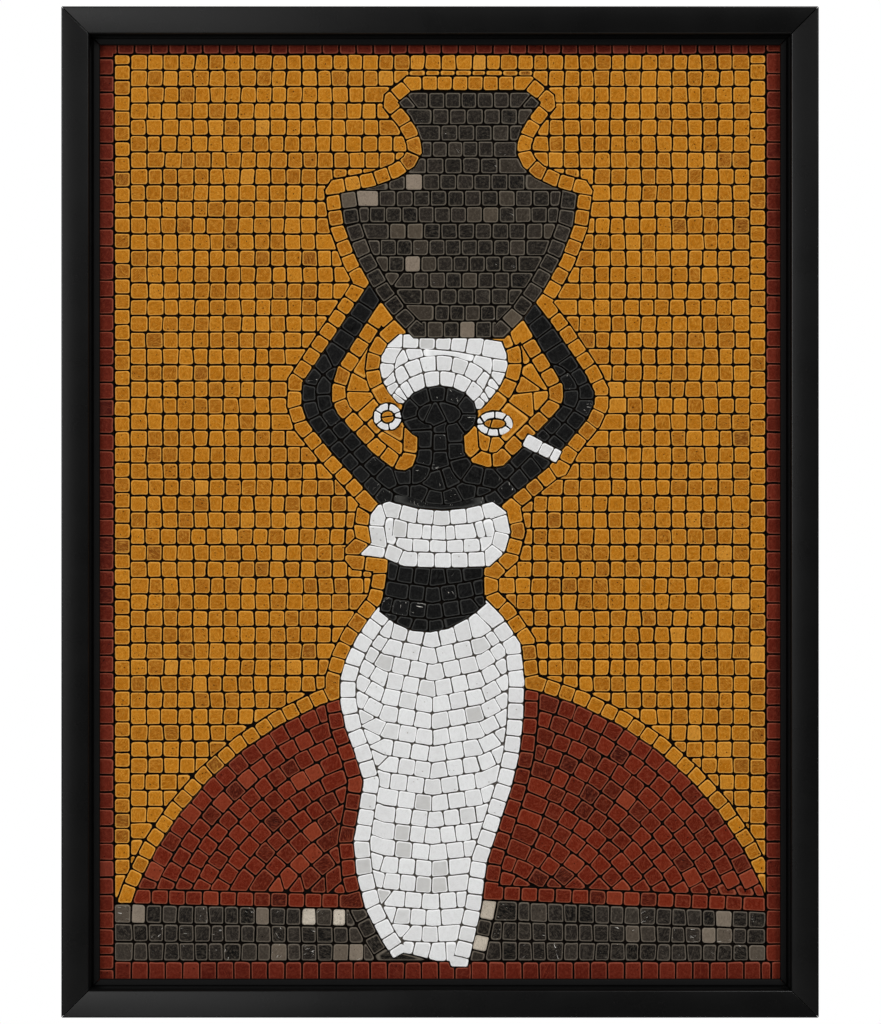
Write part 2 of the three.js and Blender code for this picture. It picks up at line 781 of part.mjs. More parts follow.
const stones = new THREE.Group();
const FIELDS = [
  ['border_course', borderCourse, 'redMarble'],
  ['ochre_ground', ochreGround, 'ochreMarble'],
  ['ochre_inside_left_arm', () => insideArms(LEFT_ARM), 'ochreMarble'],
  ['ochre_inside_right_arm', () => insideArms(RIGHT_ARM), 'ochreMarble'],
  ['hill_left', () => hillSide(-1), 'redMarble'],
  ['hill_right', () => hillSide(1), 'redMarble'],
  ['ground_band_left', () => groundBand(-1), 'brownMarble'],
  ['ground_band_right', () => groundBand(1), 'brownMarble'],
  ['jar', jarField, 'brownMarble'],
  ['head_wrap', headWrap, 'whiteMarble'],
  ['figure_upper', figureUpper, 'blackMarble'],
  ['right_forearm', rightForearm, 'blackMarble'],
  ['armband', () => slab(armband, BODY), 'whiteMarble'],
  ['bandeau', bandeauField, 'whiteMarble'],
  ['waist', waistField, 'blackMarble'],
  ['skirt', skirtField, 'whiteMarble'],
  ['earring_left', () => hoop(HOOPS.left, EARRINGS.left), 'whiteMarble'],
  ['earring_right', () => hoop(HOOPS.right, EARRINGS.right), 'whiteMarble'],
  ['earring_infill_left', () => hoopInfill(EARRINGS.left), 'ochreMarble'],
  ['earring_infill_right', () => hoopInfill(EARRINGS.right), 'ochreMarble'],
];
for (const [name, field, marble] of FIELDS) {
  add(stones, name, geometryFrom(field()), FINISHES[marble]());
}
panel.add(stones);

// The origin is the fixing on the back of the top rail.
panel.position.z = -(FRAME_HEIGHT / 2 - FIXING_BELOW_TOP);

const wallPanel = new THREE.Group();
wallPanel.add(panel);

export default wallPanel;
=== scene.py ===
"""Looks of a framed marble mosaic: stones cut and laid course by course in a black moulding."""

import json
import logging
import math
from dataclasses import dataclass, field
from enum import Enum

import bmesh
import bpy
import numpy as np
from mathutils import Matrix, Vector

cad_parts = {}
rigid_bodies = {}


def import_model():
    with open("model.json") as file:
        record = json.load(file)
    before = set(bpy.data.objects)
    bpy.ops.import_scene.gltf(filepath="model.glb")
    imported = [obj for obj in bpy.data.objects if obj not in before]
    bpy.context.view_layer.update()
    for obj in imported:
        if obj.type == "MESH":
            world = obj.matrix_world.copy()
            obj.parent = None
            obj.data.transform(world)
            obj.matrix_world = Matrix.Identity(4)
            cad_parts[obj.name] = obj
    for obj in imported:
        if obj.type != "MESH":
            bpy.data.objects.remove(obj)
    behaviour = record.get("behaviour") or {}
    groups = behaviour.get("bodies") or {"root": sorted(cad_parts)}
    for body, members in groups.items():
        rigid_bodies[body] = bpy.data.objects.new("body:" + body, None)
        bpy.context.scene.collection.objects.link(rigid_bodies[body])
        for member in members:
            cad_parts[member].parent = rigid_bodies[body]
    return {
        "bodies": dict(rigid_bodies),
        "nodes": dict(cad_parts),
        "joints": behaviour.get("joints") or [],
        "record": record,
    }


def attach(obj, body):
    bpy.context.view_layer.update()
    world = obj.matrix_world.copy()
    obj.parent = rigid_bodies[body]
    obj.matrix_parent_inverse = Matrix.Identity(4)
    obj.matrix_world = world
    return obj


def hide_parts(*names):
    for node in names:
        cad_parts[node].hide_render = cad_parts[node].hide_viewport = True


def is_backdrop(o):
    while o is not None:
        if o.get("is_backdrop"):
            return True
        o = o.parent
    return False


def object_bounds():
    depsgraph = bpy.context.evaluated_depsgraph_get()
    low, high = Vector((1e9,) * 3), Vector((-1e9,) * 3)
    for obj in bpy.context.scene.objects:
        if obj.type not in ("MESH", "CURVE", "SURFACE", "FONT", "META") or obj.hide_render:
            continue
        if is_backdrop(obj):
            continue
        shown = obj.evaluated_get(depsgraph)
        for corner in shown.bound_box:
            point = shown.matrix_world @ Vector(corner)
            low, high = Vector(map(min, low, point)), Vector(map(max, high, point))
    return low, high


log = logging.getLogger("mosaic")

MM = 0.001

# Layers of the panel, measured out from the wall in millimetres.
BED_BACK = 13.2
MORTAR_FRONT = 21.75
STONE_FRONT = 23.2
SAME_LEVEL = 0.05

# The panel's middle, from the wall fixing up, in millimetres.
MIDDLE_HEIGHT = -328.5

# Stones, in millimetres.
COURSE = 10.3  # stone and joint, along a straight row and across a contour course
ROW = 10.93  # stone and joint, up a straight row
BAND_ROW = 11.8  # stone and joint, up a row of the dark ground
JOINT = 0.8


class Laying(Enum):
    """How the courses of a field are cut into stones."""

    COLUMNS = "straight rows, cut by joints that keep to common columns"
    ALONG = "courses that follow an outline, cut square to their own run"


# ---------------------------------------------------------------- nodes and colours


def linear(colour: str) -> tuple[float, float, float, float]:
    """Turns an sRGB hex colour into linear RGBA.

    Args:
        colour: The colour as "#RRGGBB".

    Returns:
        Red, green, blue and alpha, linear.
    """
    parts = (int(colour[i:i + 2], 16) / 255 for i in (1, 3, 5))
    red, green, blue = (c / 12.92 if c <= 0.04045 else ((c + 0.055) / 1.055) ** 2.4 for c in parts)
    return red, green, blue, 1.0


def add_node(tree: bpy.types.NodeTree, kind: str, inputs: dict | None = None, **settings) -> bpy.types.Node:
    """Adds a shader node with its settings, values and links.

    Args:
        tree: The node tree that gets the node.
        kind: The node's type name, without the ShaderNode prefix.
        inputs: Values or output sockets, by input name or number.
        **settings: Properties of the node itself.

    Returns:
        The new node.
    """
    node = tree.nodes.new("ShaderNode" + kind)
    for key, value in settings.items():
        setattr(node, key, value)
    for key, value in (inputs or {}).items():
        if isinstance(value, bpy.types.NodeSocket):
            tree.links.new(value, node.inputs[key])
        else:
            node.inputs[key].default_value = value
    return node


def add_ramp(tree: bpy.types.NodeTree, factor: bpy.types.NodeSocket,
             stops: tuple[tuple[float, str], ...]) -> bpy.types.NodeSocket:
    """Adds a colour ramp.

    Args:
        tree: The node tree that gets the ramp.
        factor: The socket that drives it.
        stops: Positions from 0 to 1 with their sRGB hex colours, in order.

    Returns:
        The ramp's colour socket.
    """
    ramp = add_node(tree, "ValToRGB", {"Fac": factor})
    elements = ramp.color_ramp.elements
    while len(elements) < len(stops):
        elements.new(1.0)
    for element, (position, colour) in zip(elements, stops):
        element.position = position
        element.color = linear(colour)
    return ramp.outputs["Color"]


def new_material(name: str) -> tuple[bpy.types.Material, bpy.types.NodeTree, bpy.types.Node]:
    """Starts a material with a Principled shader.

    Args:
        name: The material's name.

    Returns:
        The material, its node tree and its Principled node.
    """
    material = bpy.data.materials.new(name)
    material.use_nodes = True
    tree = material.node_tree
    tree.nodes.clear()
    shader = add_node(tree, "BsdfPrincipled")
    add_node(tree, "OutputMaterial", {"Surface": shader.outputs["BSDF"]})
    return material, tree, shader


def mix(tree: bpy.types.NodeTree, factor: bpy.types.NodeSocket | float, one, other,
        blend: str = "MIX") -> bpy.types.NodeSocket:
    """Mixes two colours.

    Args:
        tree: The node tree that gets the mix.
        factor: How much of the other colour shows, as a socket or a number.
        one: The colour underneath, as a socket or linear RGBA.
        other: The colour over it, as a socket or linear RGBA.
        blend: The blend mode.

    Returns:
        The mixed colour's socket.
    """
    inputs = {0: factor, 6: one, 7: other}
    return add_node(tree, "Mix", inputs, data_type="RGBA", blend_type=blend).outputs[2]


def math_node(tree: bpy.types.NodeTree, operation: str, *values, clamp: bool = False) -> bpy.types.NodeSocket:
    """Adds a math node.

    Args:
        tree: The node tree that gets the node.
        operation: The operation's name.
        *values: Sockets or numbers, in order.
        clamp: Whether the result stays between 0 and 1.

    Returns:
        The result's socket.
    """
    inputs = dict(enumerate(values))
    return add_node(tree, "Math", inputs, operation=operation, use_clamp=clamp).outputs[0]


# ---------------------------------------------------------------- finishes


@dataclass(frozen=True)
class Marble:
    """Marble cut into stones, each of its own tone.

    The tone of a stone comes from its "stone" attribute and its pale edge, partly wear and partly a
    painted highlight, from its "rim" attribute. Painted shade darkens its flanks with depth. Sizes
    are in millimetres.
    """

    name: str
    tones: tuple[tuple[float, str], ...]
    rim: str
    pit: str
    vein: str
    rim_wear_and_highlight_share: float = 0.5
    mottling: float = 0.35
    mottle_size: float = 2.6
    pits: float = 0.5
    pit_size: float = 1.0
    vein_share: float = 0.35
    drift: float = 0.1
    roughness: float = 0.5
    relief: float = 0.22
    specular: float = 0.06
    flank_shade: str = "#0B0907"
    fleck: str = "#D8D4CC"
    flecks: float = 0.0

    def material(self) -> bpy.types.Material:
        """Builds the marble: tone, drift, mottling, scratches, pits, pale rims and painted shade on the flanks."""
        material, tree, shader = new_material(self.name)
        place = add_node(tree, "TexCoord").outputs["Object"]
        stone = add_node(tree, "Attribute", attribute_name="stone").outputs["Vector"]
        rim = add_node(tree, "Attribute", attribute_name="rim").outputs["Fac"]
        tone, turn, lot = add_node(tree, "SeparateXYZ", {0: stone}).outputs[:]

        # Each stone is cut from another part of the block: its pattern is moved and turned.
        moved = add_node(tree, "VectorMath", {0: stone, 1: place, 2: (0.0, 0.0, 0.0)}, operation="MULTIPLY_ADD")
        tree.links.new(stone, moved.inputs[0])
        moved.inputs[1].default_value = (1.3, 0.9, 1.7)
        tree.links.new(place, moved.inputs[2])
        angle = math_node(tree, "MULTIPLY", turn, math.tau)
        pattern = add_node(tree, "VectorRotate", {"Vector": moved.outputs[0], "Angle": angle},
                           rotation_type="Y_AXIS").outputs[0]

        drift = add_node(tree, "TexNoise", {"Vector": place, "Scale": 1 / (150 * MM), "Detail": 1.0}).outputs[0]
        wander = math_node(tree, "MULTIPLY_ADD", drift, 2 * self.drift, -self.drift)
        colour = add_ramp(tree, math_node(tree, "ADD", tone, wander, clamp=True), self.tones)

        cloud = add_node(tree, "TexNoise", {
            "Vector": pattern, "Scale": 1 / (self.mottle_size * MM), "Detail": 5.0, "Roughness": 0.65,
        }).outputs[0]
        dark = math_node(tree, "MULTIPLY_ADD", cloud, -3.2 * self.mottling, 1.6 * self.mottling, clamp=True)
        light = math_node(tree, "MULTIPLY_ADD", cloud, 3.2 * self.mottling, -1.6 * self.mottling, clamp=True)
        colour = mix(tree, dark, colour, linear(self.pit))
        colour = mix(tree, math_node(tree, "MULTIPLY", light, 0.6), colour, linear(self.rim))

        # Saw marks and fine veins: streaks drawn out along one way of the stone.
        streaked = add_node(tree, "Mapping", {"Vector": pattern, "Scale": (0.22, 1.0, 1.6)}).outputs[0]
        streak = add_node(tree, "TexNoise", {
            "Vector": streaked, "Scale": 1 / (0.65 * MM), "Detail": 3.0, "Distortion": 0.6,
        }).outputs[0]
        streaks = add_node(tree, "MapRange", {
            "Value": streak, "From Min": 0.53, "From Max": 0.63,
        }).outputs[0]
        colour = mix(tree, math_node(tree, "MULTIPLY", streaks, self.vein_share), colour, linear(self.vein))

        # Pits: ragged holes that hold dirt, more in some stones than in others.
        cells = add_node(tree, "TexVoronoi", {"Vector": pattern, "Scale": 1 / (self.pit_size * 4 * MM)})
        chance = add_node(tree, "SeparateXYZ", {0: cells.outputs["Color"]}).outputs[0]
        pitted = math_node(tree, "LESS_THAN", chance, math_node(tree, "MULTIPLY", lot, self.pits))
        ragged = math_node(tree, "MULTIPLY_ADD", streak, 0.3, cells.outputs["Distance"])
        holes = add_node(tree, "MapRange", {"Value": ragged, "From Min": 0.36, "From Max": 0.26}).outputs[0]
        holes = math_node(tree, "MULTIPLY", holes, pitted)
        colour = mix(tree, math_node(tree, "MULTIPLY", holes, 0.85), colour, linear(self.pit))

        # Pale flecks and broken hairlines of calcite, in a few stones.
        seam = add_node(tree, "TexNoise", {
            "Vector": streaked, "Scale": 1 / (2.6 * MM), "Detail": 2.0, "Distortion": 1.5,
        }).outputs[0]
        least = math_node(tree, "MULTIPLY_ADD", lot, -0.3 * self.flecks, 0.86 - 0.06 * self.flecks)
        calcite = add_node(tree, "MapRange", {
            "Value": seam, "From Min": least, "From Max": math_node(tree, "ADD", least, 0.03),
        }).outputs[0]
        colour = mix(tree, calcite, colour, linear(self.fleck))

        # Arrises are paler, partly from handling and partly as a painted highlight along every edge.
        colour = mix(tree, math_node(tree, "MULTIPLY", rim, self.rim_wear_and_highlight_share), colour, linear(self.rim))
        # Painted shade on the flanks: darker with depth down into the joint.
        depth = add_node(tree, "SeparateXYZ", {0: place}).outputs["Y"]
        flank_shade = add_node(tree, "MapRange", {
            "Value": depth, "From Min": -(STONE_FRONT - 0.45) * MM, "From Max": -(STONE_FRONT - 1.0) * MM,
        }).outputs[0]
        colour = mix(tree, flank_shade, colour, linear(self.flank_shade))
        tree.links.new(colour, shader.inputs["Base Color"])

        rough = math_node(tree, "MULTIPLY_ADD", cloud, 0.3, self.roughness - 0.15, clamp=True)
        tree.links.new(rough, shader.inputs["Roughness"])
        shader.inputs["IOR"].default_value = 1.5
        shader.inputs["Specular IOR Level"].default_value = self.specular
        height = math_node(tree, "MULTIPLY_ADD", holes, -1.6, cloud)
        height = math_node(tree, "MULTIPLY_ADD", streaks, 0.35, height)
        bump = add_node(tree, "Bump", {"Height": height, "Distance": self.relief * MM, "Strength": 0.8})
        tree.links.new(bump.outputs[0], shader.inputs["Normal"])
        return material


# Honed yellow marble: warm gold stones, brown pits and pale edges, partly scuffed and partly a painted highlight.
OCHRE_MARBLE = Marble(
    name="ochre_marble",
    tones=((0.0, "#7A430B"), (0.2, "#965607"), (0.5, "#AB6607"), (0.8, "#B87210"), (1.0, "#C6852C")),
    rim="#F2B455", pit="#341804", vein="#DDA240", rim_wear_and_highlight_share=0.66, mottling=0.55, pits=0.75, vein_share=0.5,
    flank_shade="#4A290B",
)
# Red-brown limestone: darker, clouded, with pink edges, partly dust and partly a painted highlight.
HILL_MARBLE = Marble(
    name="russet_marble",
    tones=((0.0, "#390C04"), (0.25, "#521405"), (0.5, "#601706"), (0.8, "#6E200C"), (1.0, "#82341D")),
    rim="#B4694E", pit="#170402", vein="#93432A", rim_wear_and_highlight_share=0.5, mottling=0.45, pits=0.35, vein_share=0.45,
    flank_shade="#120402",
)
# Burgundy marble of the border.
BORDER_MARBLE = Marble(
    name="burgundy_marble",
    tones=((0.0, "#400E07"), (0.25, "#501408"), (0.5, "#59180A"), (0.8, "#641F10"), (1.0, "#753122")),
    rim="#A65B46", pit="#1A0503", vein="#853A26", rim_wear_and_highlight_share=0.6, mottling=0.4, pits=0.2, vein_share=0.45,
    flank_shade="#160503",
)
# Mixed dark brown and grey stones of the ground.
BROWN_MARBLE = Marble(
    name="umber_marble",
    tones=((0.0, "#080706"), (0.3, "#13100E"), (0.55, "#1E1A17"), (0.8, "#332D27"), (0.92, "#655A4E"),
           (0.97, "#85796B"), (1.0, "#CFC4B4")),
    rim="#9C9182", pit="#050404", vein="#5F564B", rim_wear_and_highlight_share=0.4, drift=0.03, mottling=0.4, pits=0.25, flecks=0.5,
    vein_share=0.45, flank_shade="#050403",
)
# Smoky stones of the jar, a few of them tan.
JAR_MARBLE = Marble(
    name="smoky_marble",
    tones=((0.0, "#0B0908"), (0.35, "#171411"), (0.65, "#241F1B"), (0.86, "#383129"), (0.96, "#544A3E"),
           (1.0, "#8E8071")),
    rim="#9C9282", pit="#060504", vein="#584F44", rim_wear_and_highlight_share=0.4, drift=0.06, mottling=0.4, pits=0.25, flecks=0.35,
    vein_share=0.4, flank_shade="#050403",
)
# White marble, faintly grey in places, with white edges that are partly a painted highlight; its joints are close
# and grey with dust.
WHITE_MARBLE = Marble(
    name="white_marble",
    tones=((0.0, "#C6C5C3"), (0.08, "#D6D6D5"), (0.3, "#DFDFDF"), (1.0, "#E9EAEA")),
    rim="#FFFFFF", pit="#A9A49C", vein="#C6C6C4", rim_wear_and_highlight_share=0.9, mottling=0.2, mottle_size=4.0, pits=0.08,
    vein_share=0.3, roughness=0.42, flank_shade="#A29C95", drift=0.05,
)
# Black marble, split and honed, with white flecks and hairlines in a few stones.
BLACK_MARBLE = Marble(
    name="black_marble",
    tones=((0.0, "#050505"), (0.5, "#0B0B0B"), (0.85, "#161616"), (1.0, "#2B2B2A")),
    rim="#767673", pit="#030303", vein="#343433", rim_wear_and_highlight_share=0.24, mottling=0.15, pits=0.1, vein_share=0.3,
    roughness=0.45, flecks=0.5, flank_shade="#030303",
)


@dataclass(frozen=True)
class Mortar:
    """Cement mortar under and between the stones: matt and gritty."""

    name: str
    low: str
    high: str
    grit: float = 0.6

    def material(self) -> bpy.types.Material:
        """Builds the mortar: two dark tones of grit."""
        material, tree, shader = new_material(self.name)
        place = add_node(tree, "TexCoord").outputs["Object"]
        grain = add_node(tree, "TexNoise", {
            "Vector": place, "Scale": 1 / (self.grit * MM), "Detail": 4.0, "Roughness": 0.7,
        }).outputs[0]
        colour = add_ramp(tree, grain, ((0.35, self.low), (0.7, self.high)))
        tree.links.new(colour, shader.inputs["Base Color"])
        shader.inputs["Roughness"].default_value = 0.95
        shader.inputs["Specular IOR Level"].default_value = 0.05
        bump = add_node(tree, "Bump", {"Height": grain, "Distance": 0.2 * MM})
        tree.links.new(bump.outputs[0], shader.inputs["Normal"])
        return material


# Bare mortar, almost black in the deep joints.
DARK_MORTAR = Mortar(name="dark_cement_mortar", low="#040303", high="#16110C")
# The same mortar under a film of marble dust, between the white stones.
DUSTY_MORTAR = Mortar(name="dusty_cement_mortar", low="#211D19", high="#77716A")


@dataclass(frozen=True)
class Lacquer:
    """Black lacquer sprayed on wood: soft reflections with a slight orange peel."""

    name: str = "black_satin_lacquer"
    base: str = "#060606"
    worn: str = "#0A0A0A"
    peel: float = 1.6
    roughness: float = 0.24
    specular: float = 0.24

    def material(self) -> bpy.types.Material:
        """Builds the lacquer: clouded black, peel in the gloss and fine dust."""
        material, tree, shader = new_material(self.name)
        place = add_node(tree, "TexCoord").outputs["Object"]
        cloud = add_node(tree, "TexNoise", {"Vector": place, "Scale": 1 / (30 * MM), "Detail": 4.0}).outputs[0]
        peel = add_node(tree, "TexNoise", {"Vector": place, "Scale": 1 / (self.peel * MM), "Detail": 2.0}).outputs[0]
        specks = add_node(tree, "TexNoise", {"Vector": place, "Scale": 1 / (0.7 * MM), "Detail": 1.0}).outputs[0]
        dust = add_node(tree, "MapRange", {"Value": specks, "From Min": 0.7, "From Max": 0.78}).outputs[0]
        colour = add_ramp(tree, cloud, ((0.3, self.base), (0.8, self.worn)))
        colour = mix(tree, math_node(tree, "MULTIPLY", dust, 0.12), colour, linear("#5A5855"))
        tree.links.new(colour, shader.inputs["Base Color"])
        rough = math_node(tree, "MULTIPLY_ADD", cloud, 0.08, self.roughness)
        tree.links.new(rough, shader.inputs["Roughness"])
        shader.inputs["IOR"].default_value = 1.5
        shader.inputs["Specular IOR Level"].default_value = self.specular
        bump = add_node(tree, "Bump", {"Height": peel, "Distance": 0.02 * MM, "Strength": 0.6})
        tree.links.new(bump.outputs[0], shader.inputs["Normal"])
        return material


# Satin on the faces that the spray meets squarely.
SATIN_LACQUER = Lacquer()
# In the step round the picture the same black is matt, with a low specular level: a duller copy that stands in for
# the shade in the recess.
MATT_STEP_SHADE_LACQUER = Lacquer(name="black_matt_lacquer_step_shade", base="#080808", worn="#0B0B0B", roughness=0.6, specular=0.1)


@dataclass(frozen=True)
class Hardboard:
    """Pressed brown fibreboard: flecked with darker and lighter fibres, matt."""

    name: str = "pressed_hardboard"
    base: str = "#7A5A3C"
    dark: str = "#5A3E27"
    pale: str = "#9A7A57"
    fibre: float = 2.2

    def material(self) -> bpy.types.Material:
        """Builds the board: short fibres over a cloudy brown."""
        material, tree, shader = new_material(self.name)
        place = add_node(tree, "TexCoord").outputs["Object"]
        cloud = add_node(tree, "TexNoise", {"Vector": place, "Scale": 1 / (60 * MM), "Detail": 3.0}).outputs[0]
        drawn = add_node(tree, "Mapping", {"Vector": place, "Scale": (1.0, 1.0, 0.3)}).outputs[0]
        fibre = add_node(tree, "TexNoise", {
            "Vector": drawn, "Scale": 1 / (self.fibre * MM), "Detail": 5.0, "Roughness": 0.7, "Distortion": 1.2,
        }).outputs[0]
        colour = add_ramp(tree, cloud, ((0.35, self.dark), (0.65, self.base)))
        flecks = add_node(tree, "MapRange", {"Value": fibre, "From Min": 0.5, "From Max": 0.7}).outputs[0]
        colour = mix(tree, math_node(tree, "MULTIPLY", flecks, 0.5), colour, linear(self.pale))
        tree.links.new(colour, shader.inputs["Base Color"])
        shader.inputs["Roughness"].default_value = 0.75
        bump = add_node(tree, "Bump", {"Height": fibre, "Distance": 0.15 * MM, "Strength": 0.5})
        tree.links.new(bump.outputs[0], shader.inputs["Normal"])
        return material


# ---------------------------------------------------------------- cutting courses into stones


def cross(one: np.ndarray, other: np.ndarray) -> np.ndarray:
    """Returns the cross product of plane vectors."""
    return one[..., 0] * other[..., 1] - one[..., 1] * other[..., 0]


def area_of(points: np.ndarray) -> float:
    """Returns the signed area of a closed outline."""
    return float(cross(points, np.roll(points, -1, axis=0)).sum() / 2)


class Course:
    """A shape of stone between joints, as closed outlines in the panel's plane, in millimetres.

    The stone lies to the left of each outline, so holes run clockwise.
    """

    def __init__(self, loops: list[np.ndarray]) -> None:
        """Keeps the outlines and lists their sides.

        Args:
            loops: Closed outlines, each an array of points.
        """
        self.loops = loops
        self.starts = np.concatenate(loops)
        self.sides = np.concatenate([np.roll(loop, -1, axis=0) - loop for loop in loops])
        self.loop_of = np.concatenate([np.full(len(loop), i) for i, loop in enumerate(loops)])
        lengths = np.linalg.norm(self.sides, axis=1)
        self.lengths = lengths
        self.runs = [np.concatenate([[0], np.cumsum(lengths[self.loop_of == i])]) for i in range(len(loops))]
        self.first_side = np.concatenate([[0], np.cumsum([len(loop) for loop in loops])])

    def area(self) -> float:
        """Returns the area of stone."""
        return sum(area_of(loop) for loop in self.loops)

    def at(self, loop: int, run: float) -> np.ndarray:
        """Returns the point of an outline at a distance along it."""
        runs = self.runs[loop]
        run = run % runs[-1]
        side = min(int(np.searchsorted(runs, run, side="right")) - 1, len(self.loops[loop]) - 1)
        index = self.first_side[loop] + side
        share = (run - runs[side]) / max(self.lengths[index], 1e-9)
        return self.starts[index] + self.sides[index] * share

    def holds(self, point: np.ndarray) -> bool:
        """Tells whether a point lies on the stone."""
        low, high = self.starts[:, 1], self.starts[:, 1] + self.sides[:, 1]
        spans = (low > point[1]) != (high > point[1])
        share = (point[1] - low[spans]) / self.sides[spans, 1]
        across = self.starts[spans, 0] + share * self.sides[spans, 0]
        return bool((across > point[0]).sum() % 2)

    def hit(self, point: np.ndarray, way: np.ndarray) -> tuple[float, int, float, float] | None:
        """Finds where a line from a point first meets an outline.

        Args:
            point: Where the line starts.
            way: The unit direction.

        Returns:
            The distance, the outline's number, the distance along it and how squarely the line
            meets it, from 0 to 1, or None where there is no such place.
        """
        slant = cross(way, self.sides)
        apart = self.starts - point
        with np.errstate(divide="ignore", invalid="ignore"):
            reach = cross(apart, self.sides) / slant
            share = cross(apart, way) / slant
        fits = (np.abs(slant) > 1e-9) & (share >= 0) & (share <= 1) & (reach > 0.05)
        if not fits.any():
            return None
        side = int(np.flatnonzero(fits)[np.argmin(reach[fits])])
        loop = int(self.loop_of[side])
        run = self.runs[loop][side - self.first_side[loop]] + share[side] * self.lengths[side]
        return float(reach[side]), loop, float(run), float(abs(slant[side]) / self.lengths[side])

    def chord(self, middle: np.ndarray, way: np.ndarray) -> "Cut | None":
        """Returns the cut through a point of the stone in a given direction, if there is one."""
        ends = [self.hit(middle, way), self.hit(middle, -way)]
        if None in ends:
            return None
        points = [middle + way * ends[0][0], middle - way * ends[1][0]]
        return Cut(
            loops=(ends[0][1], ends[1][1]), runs=(ends[0][2], ends[1][2]), points=points,
            square=min(ends[0][3], ends[1][3]),
        )

    def accepts(self, cut: "Cut", others: list["Cut"], spacing: float) -> bool:
        """Tells whether a cut stays clear of the others, also along the outlines."""
        for other in others:
            if crossing(cut, other):
                return False
            for loop, run in zip(cut.loops, cut.runs):
                for other_loop, other_run in zip(other.loops, other.runs):
                    apart = abs(run - other_run)
                    apart = min(apart, self.runs[loop][-1] - apart)
                    if loop == other_loop and apart < spacing:
                        return False
        return True

    def split(self, cuts: list["Cut"], joint: float) -> list[np.ndarray]:
        """Parts the stone along cuts, leaving a joint at each.

        Args:
            cuts: The cuts, which don't cross.
            joint: The width of the joint.

        Returns:
            The outlines of the parts.
        """
        ends: list[list[tuple[float, int, int]]] = [[] for _ in self.loops]
        for number, cut in enumerate(cuts):
            for end in (0, 1):
                ends[cut.loops[end]].append((cut.runs[end] % self.runs[cut.loops[end]][-1], number, end))
        arcs = {}
        for loop, marks in enumerate(ends):
            marks.sort()
            for mark, following in zip(marks, marks[1:] + marks[:1]):
                arcs[mark[1:]] = (loop, mark[0], following)
        if not cuts:
            return [self.loops[0]]
        parts = []
        while arcs:
            key = first = next(iter(arcs))
            outline = []
            while True:
                loop, start, following = arcs.pop(key)
                outline.append(self.stretch(loop, start, following[0], joint / 2))
                outline.append(cuts[following[1]].beside(following[2], joint / 2))
                key = (following[1], 1 - following[2])
                if key == first or key not in arcs:
                    break
            parts.append(np.concatenate(outline))
        return parts

    def parted(self, line: np.ndarray, joint: float) -> list["Course"]:
        """Parts a course with one outline along a drawn joint.

        Args:
            line: The points of the joint's line, which may run in and out of the stone.
            joint: The width of the joint.

        Returns:
            The courses on both sides, or the course itself where the line misses it.
        """
        marks = self.crossings(line)
        for (here, place), (there, next_place) in zip(marks, marks[1:]):
            middle = along_line(line, (here + there) / 2)
            if not self.holds(middle):
                continue
            ends = [along_line(line, here), along_line(line, there)]
            bends = [line[i] for i in range(math.floor(here) + 1, math.ceil(there)) if here < i < there]
            cut = Cut((0, 0), (place, next_place), ends, 1.0, bends)
            halves = [Course([part]) for part in self.split([cut], joint) if abs(area_of(part)) > 1]
            if len(halves) == 2:
                return [part for half in halves for part in half.parted(line, joint)]
        return [self]

    def crossings(self, line: np.ndarray) -> list[tuple[float, float]]:
        """Lists where a line crosses the outline, as places along the line and the outline."""
        marks = []
        for i, (start, end) in enumerate(zip(line, line[1:])):
            way = end - start
            slant = cross(way, self.sides)
            apart = self.starts - start
            with np.errstate(divide="ignore", invalid="ignore"):
                reach = cross(apart, self.sides) / slant
                share = cross(apart, way) / slant
            for side in np.flatnonzero((reach >= 0) & (reach < 1) & (share >= 0) & (share < 1)):
                marks.append((i + float(reach[side]), float(self.runs[0][side] + share[side] * self.lengths[side])))
        return sorted(marks)

    def sections(self, across: float) -> list[tuple[float, float]]:
        """Lists the stretches of stone on an upright line.

        Args:
            across: Where the line stands.

        Returns:
            The bottom and top of each stretch.
        """
        low, high = self.starts[:, 0], self.starts[:, 0] + self.sides[:, 0]
        spans = (low > across) != (high > across)
        share = (across - low[spans]) / self.sides[spans, 0]
        levels = np.sort(self.starts[spans, 1] + share * self.sides[spans, 1])
        return list(zip(levels[::2], levels[1::2]))

    def stretch(self, loop: int, start: float, end: float, inset: float) -> np.ndarray:
        """Returns an outline's points between two places, kept in from both.

        Args:
            loop: The outline's number.
            start: Distance along it where the stretch starts.
            end: Distance along it where the stretch ends.
            inset: How far the stretch keeps in from both.

        Returns:
            The points, in order.
        """
        whole = self.runs[loop][-1]
        if end <= start:
            end += whole
        inset = min(inset, (end - start) / 3)
        start, end = start + inset, end - inset
        corners = [run for run in np.concatenate([self.runs[loop][:-1], self.runs[loop][:-1] + whole])
                   if start + 0.1 < run < end - 0.1]
        return np.array([self.at(loop, run) for run in [start, *corners, end]])


@dataclass
class Cut:
    """A cut from one place on the outlines to another, straight or with bends."""

    loops: tuple[int, int]
    runs: tuple[float, float]
    points: list[np.ndarray]
    square: float
    bends: list[np.ndarray] = field(default_factory=list)

    @property
    def length(self) -> float:
        """How long the cut is from end to end."""
        return float(np.linalg.norm(self.points[0] - self.points[1]))

    @property
    def middle(self) -> np.ndarray:
        """The cut's middle."""
        return (self.points[0] + self.points[1]) / 2

    def beside(self, end: int, distance: float) -> np.ndarray:
        """Returns the bends, from one end on, moved to the left of the way along the cut.

        Args:
            end: The end where the way starts, 0 or 1.
            distance: How far they are moved.

        Returns:
            The moved bends, in order.
        """
        line = [self.points[0], *self.bends, self.points[1]]
        if end:
            line = line[::-1]
        moved = []
        for before, here, after in zip(line, line[1:], line[2:]):
            along = (after - before) / np.linalg.norm(after - before)
            moved.append(here + distance * np.array([-along[1], along[0]]))
        return np.array(moved).reshape(-1, 2)


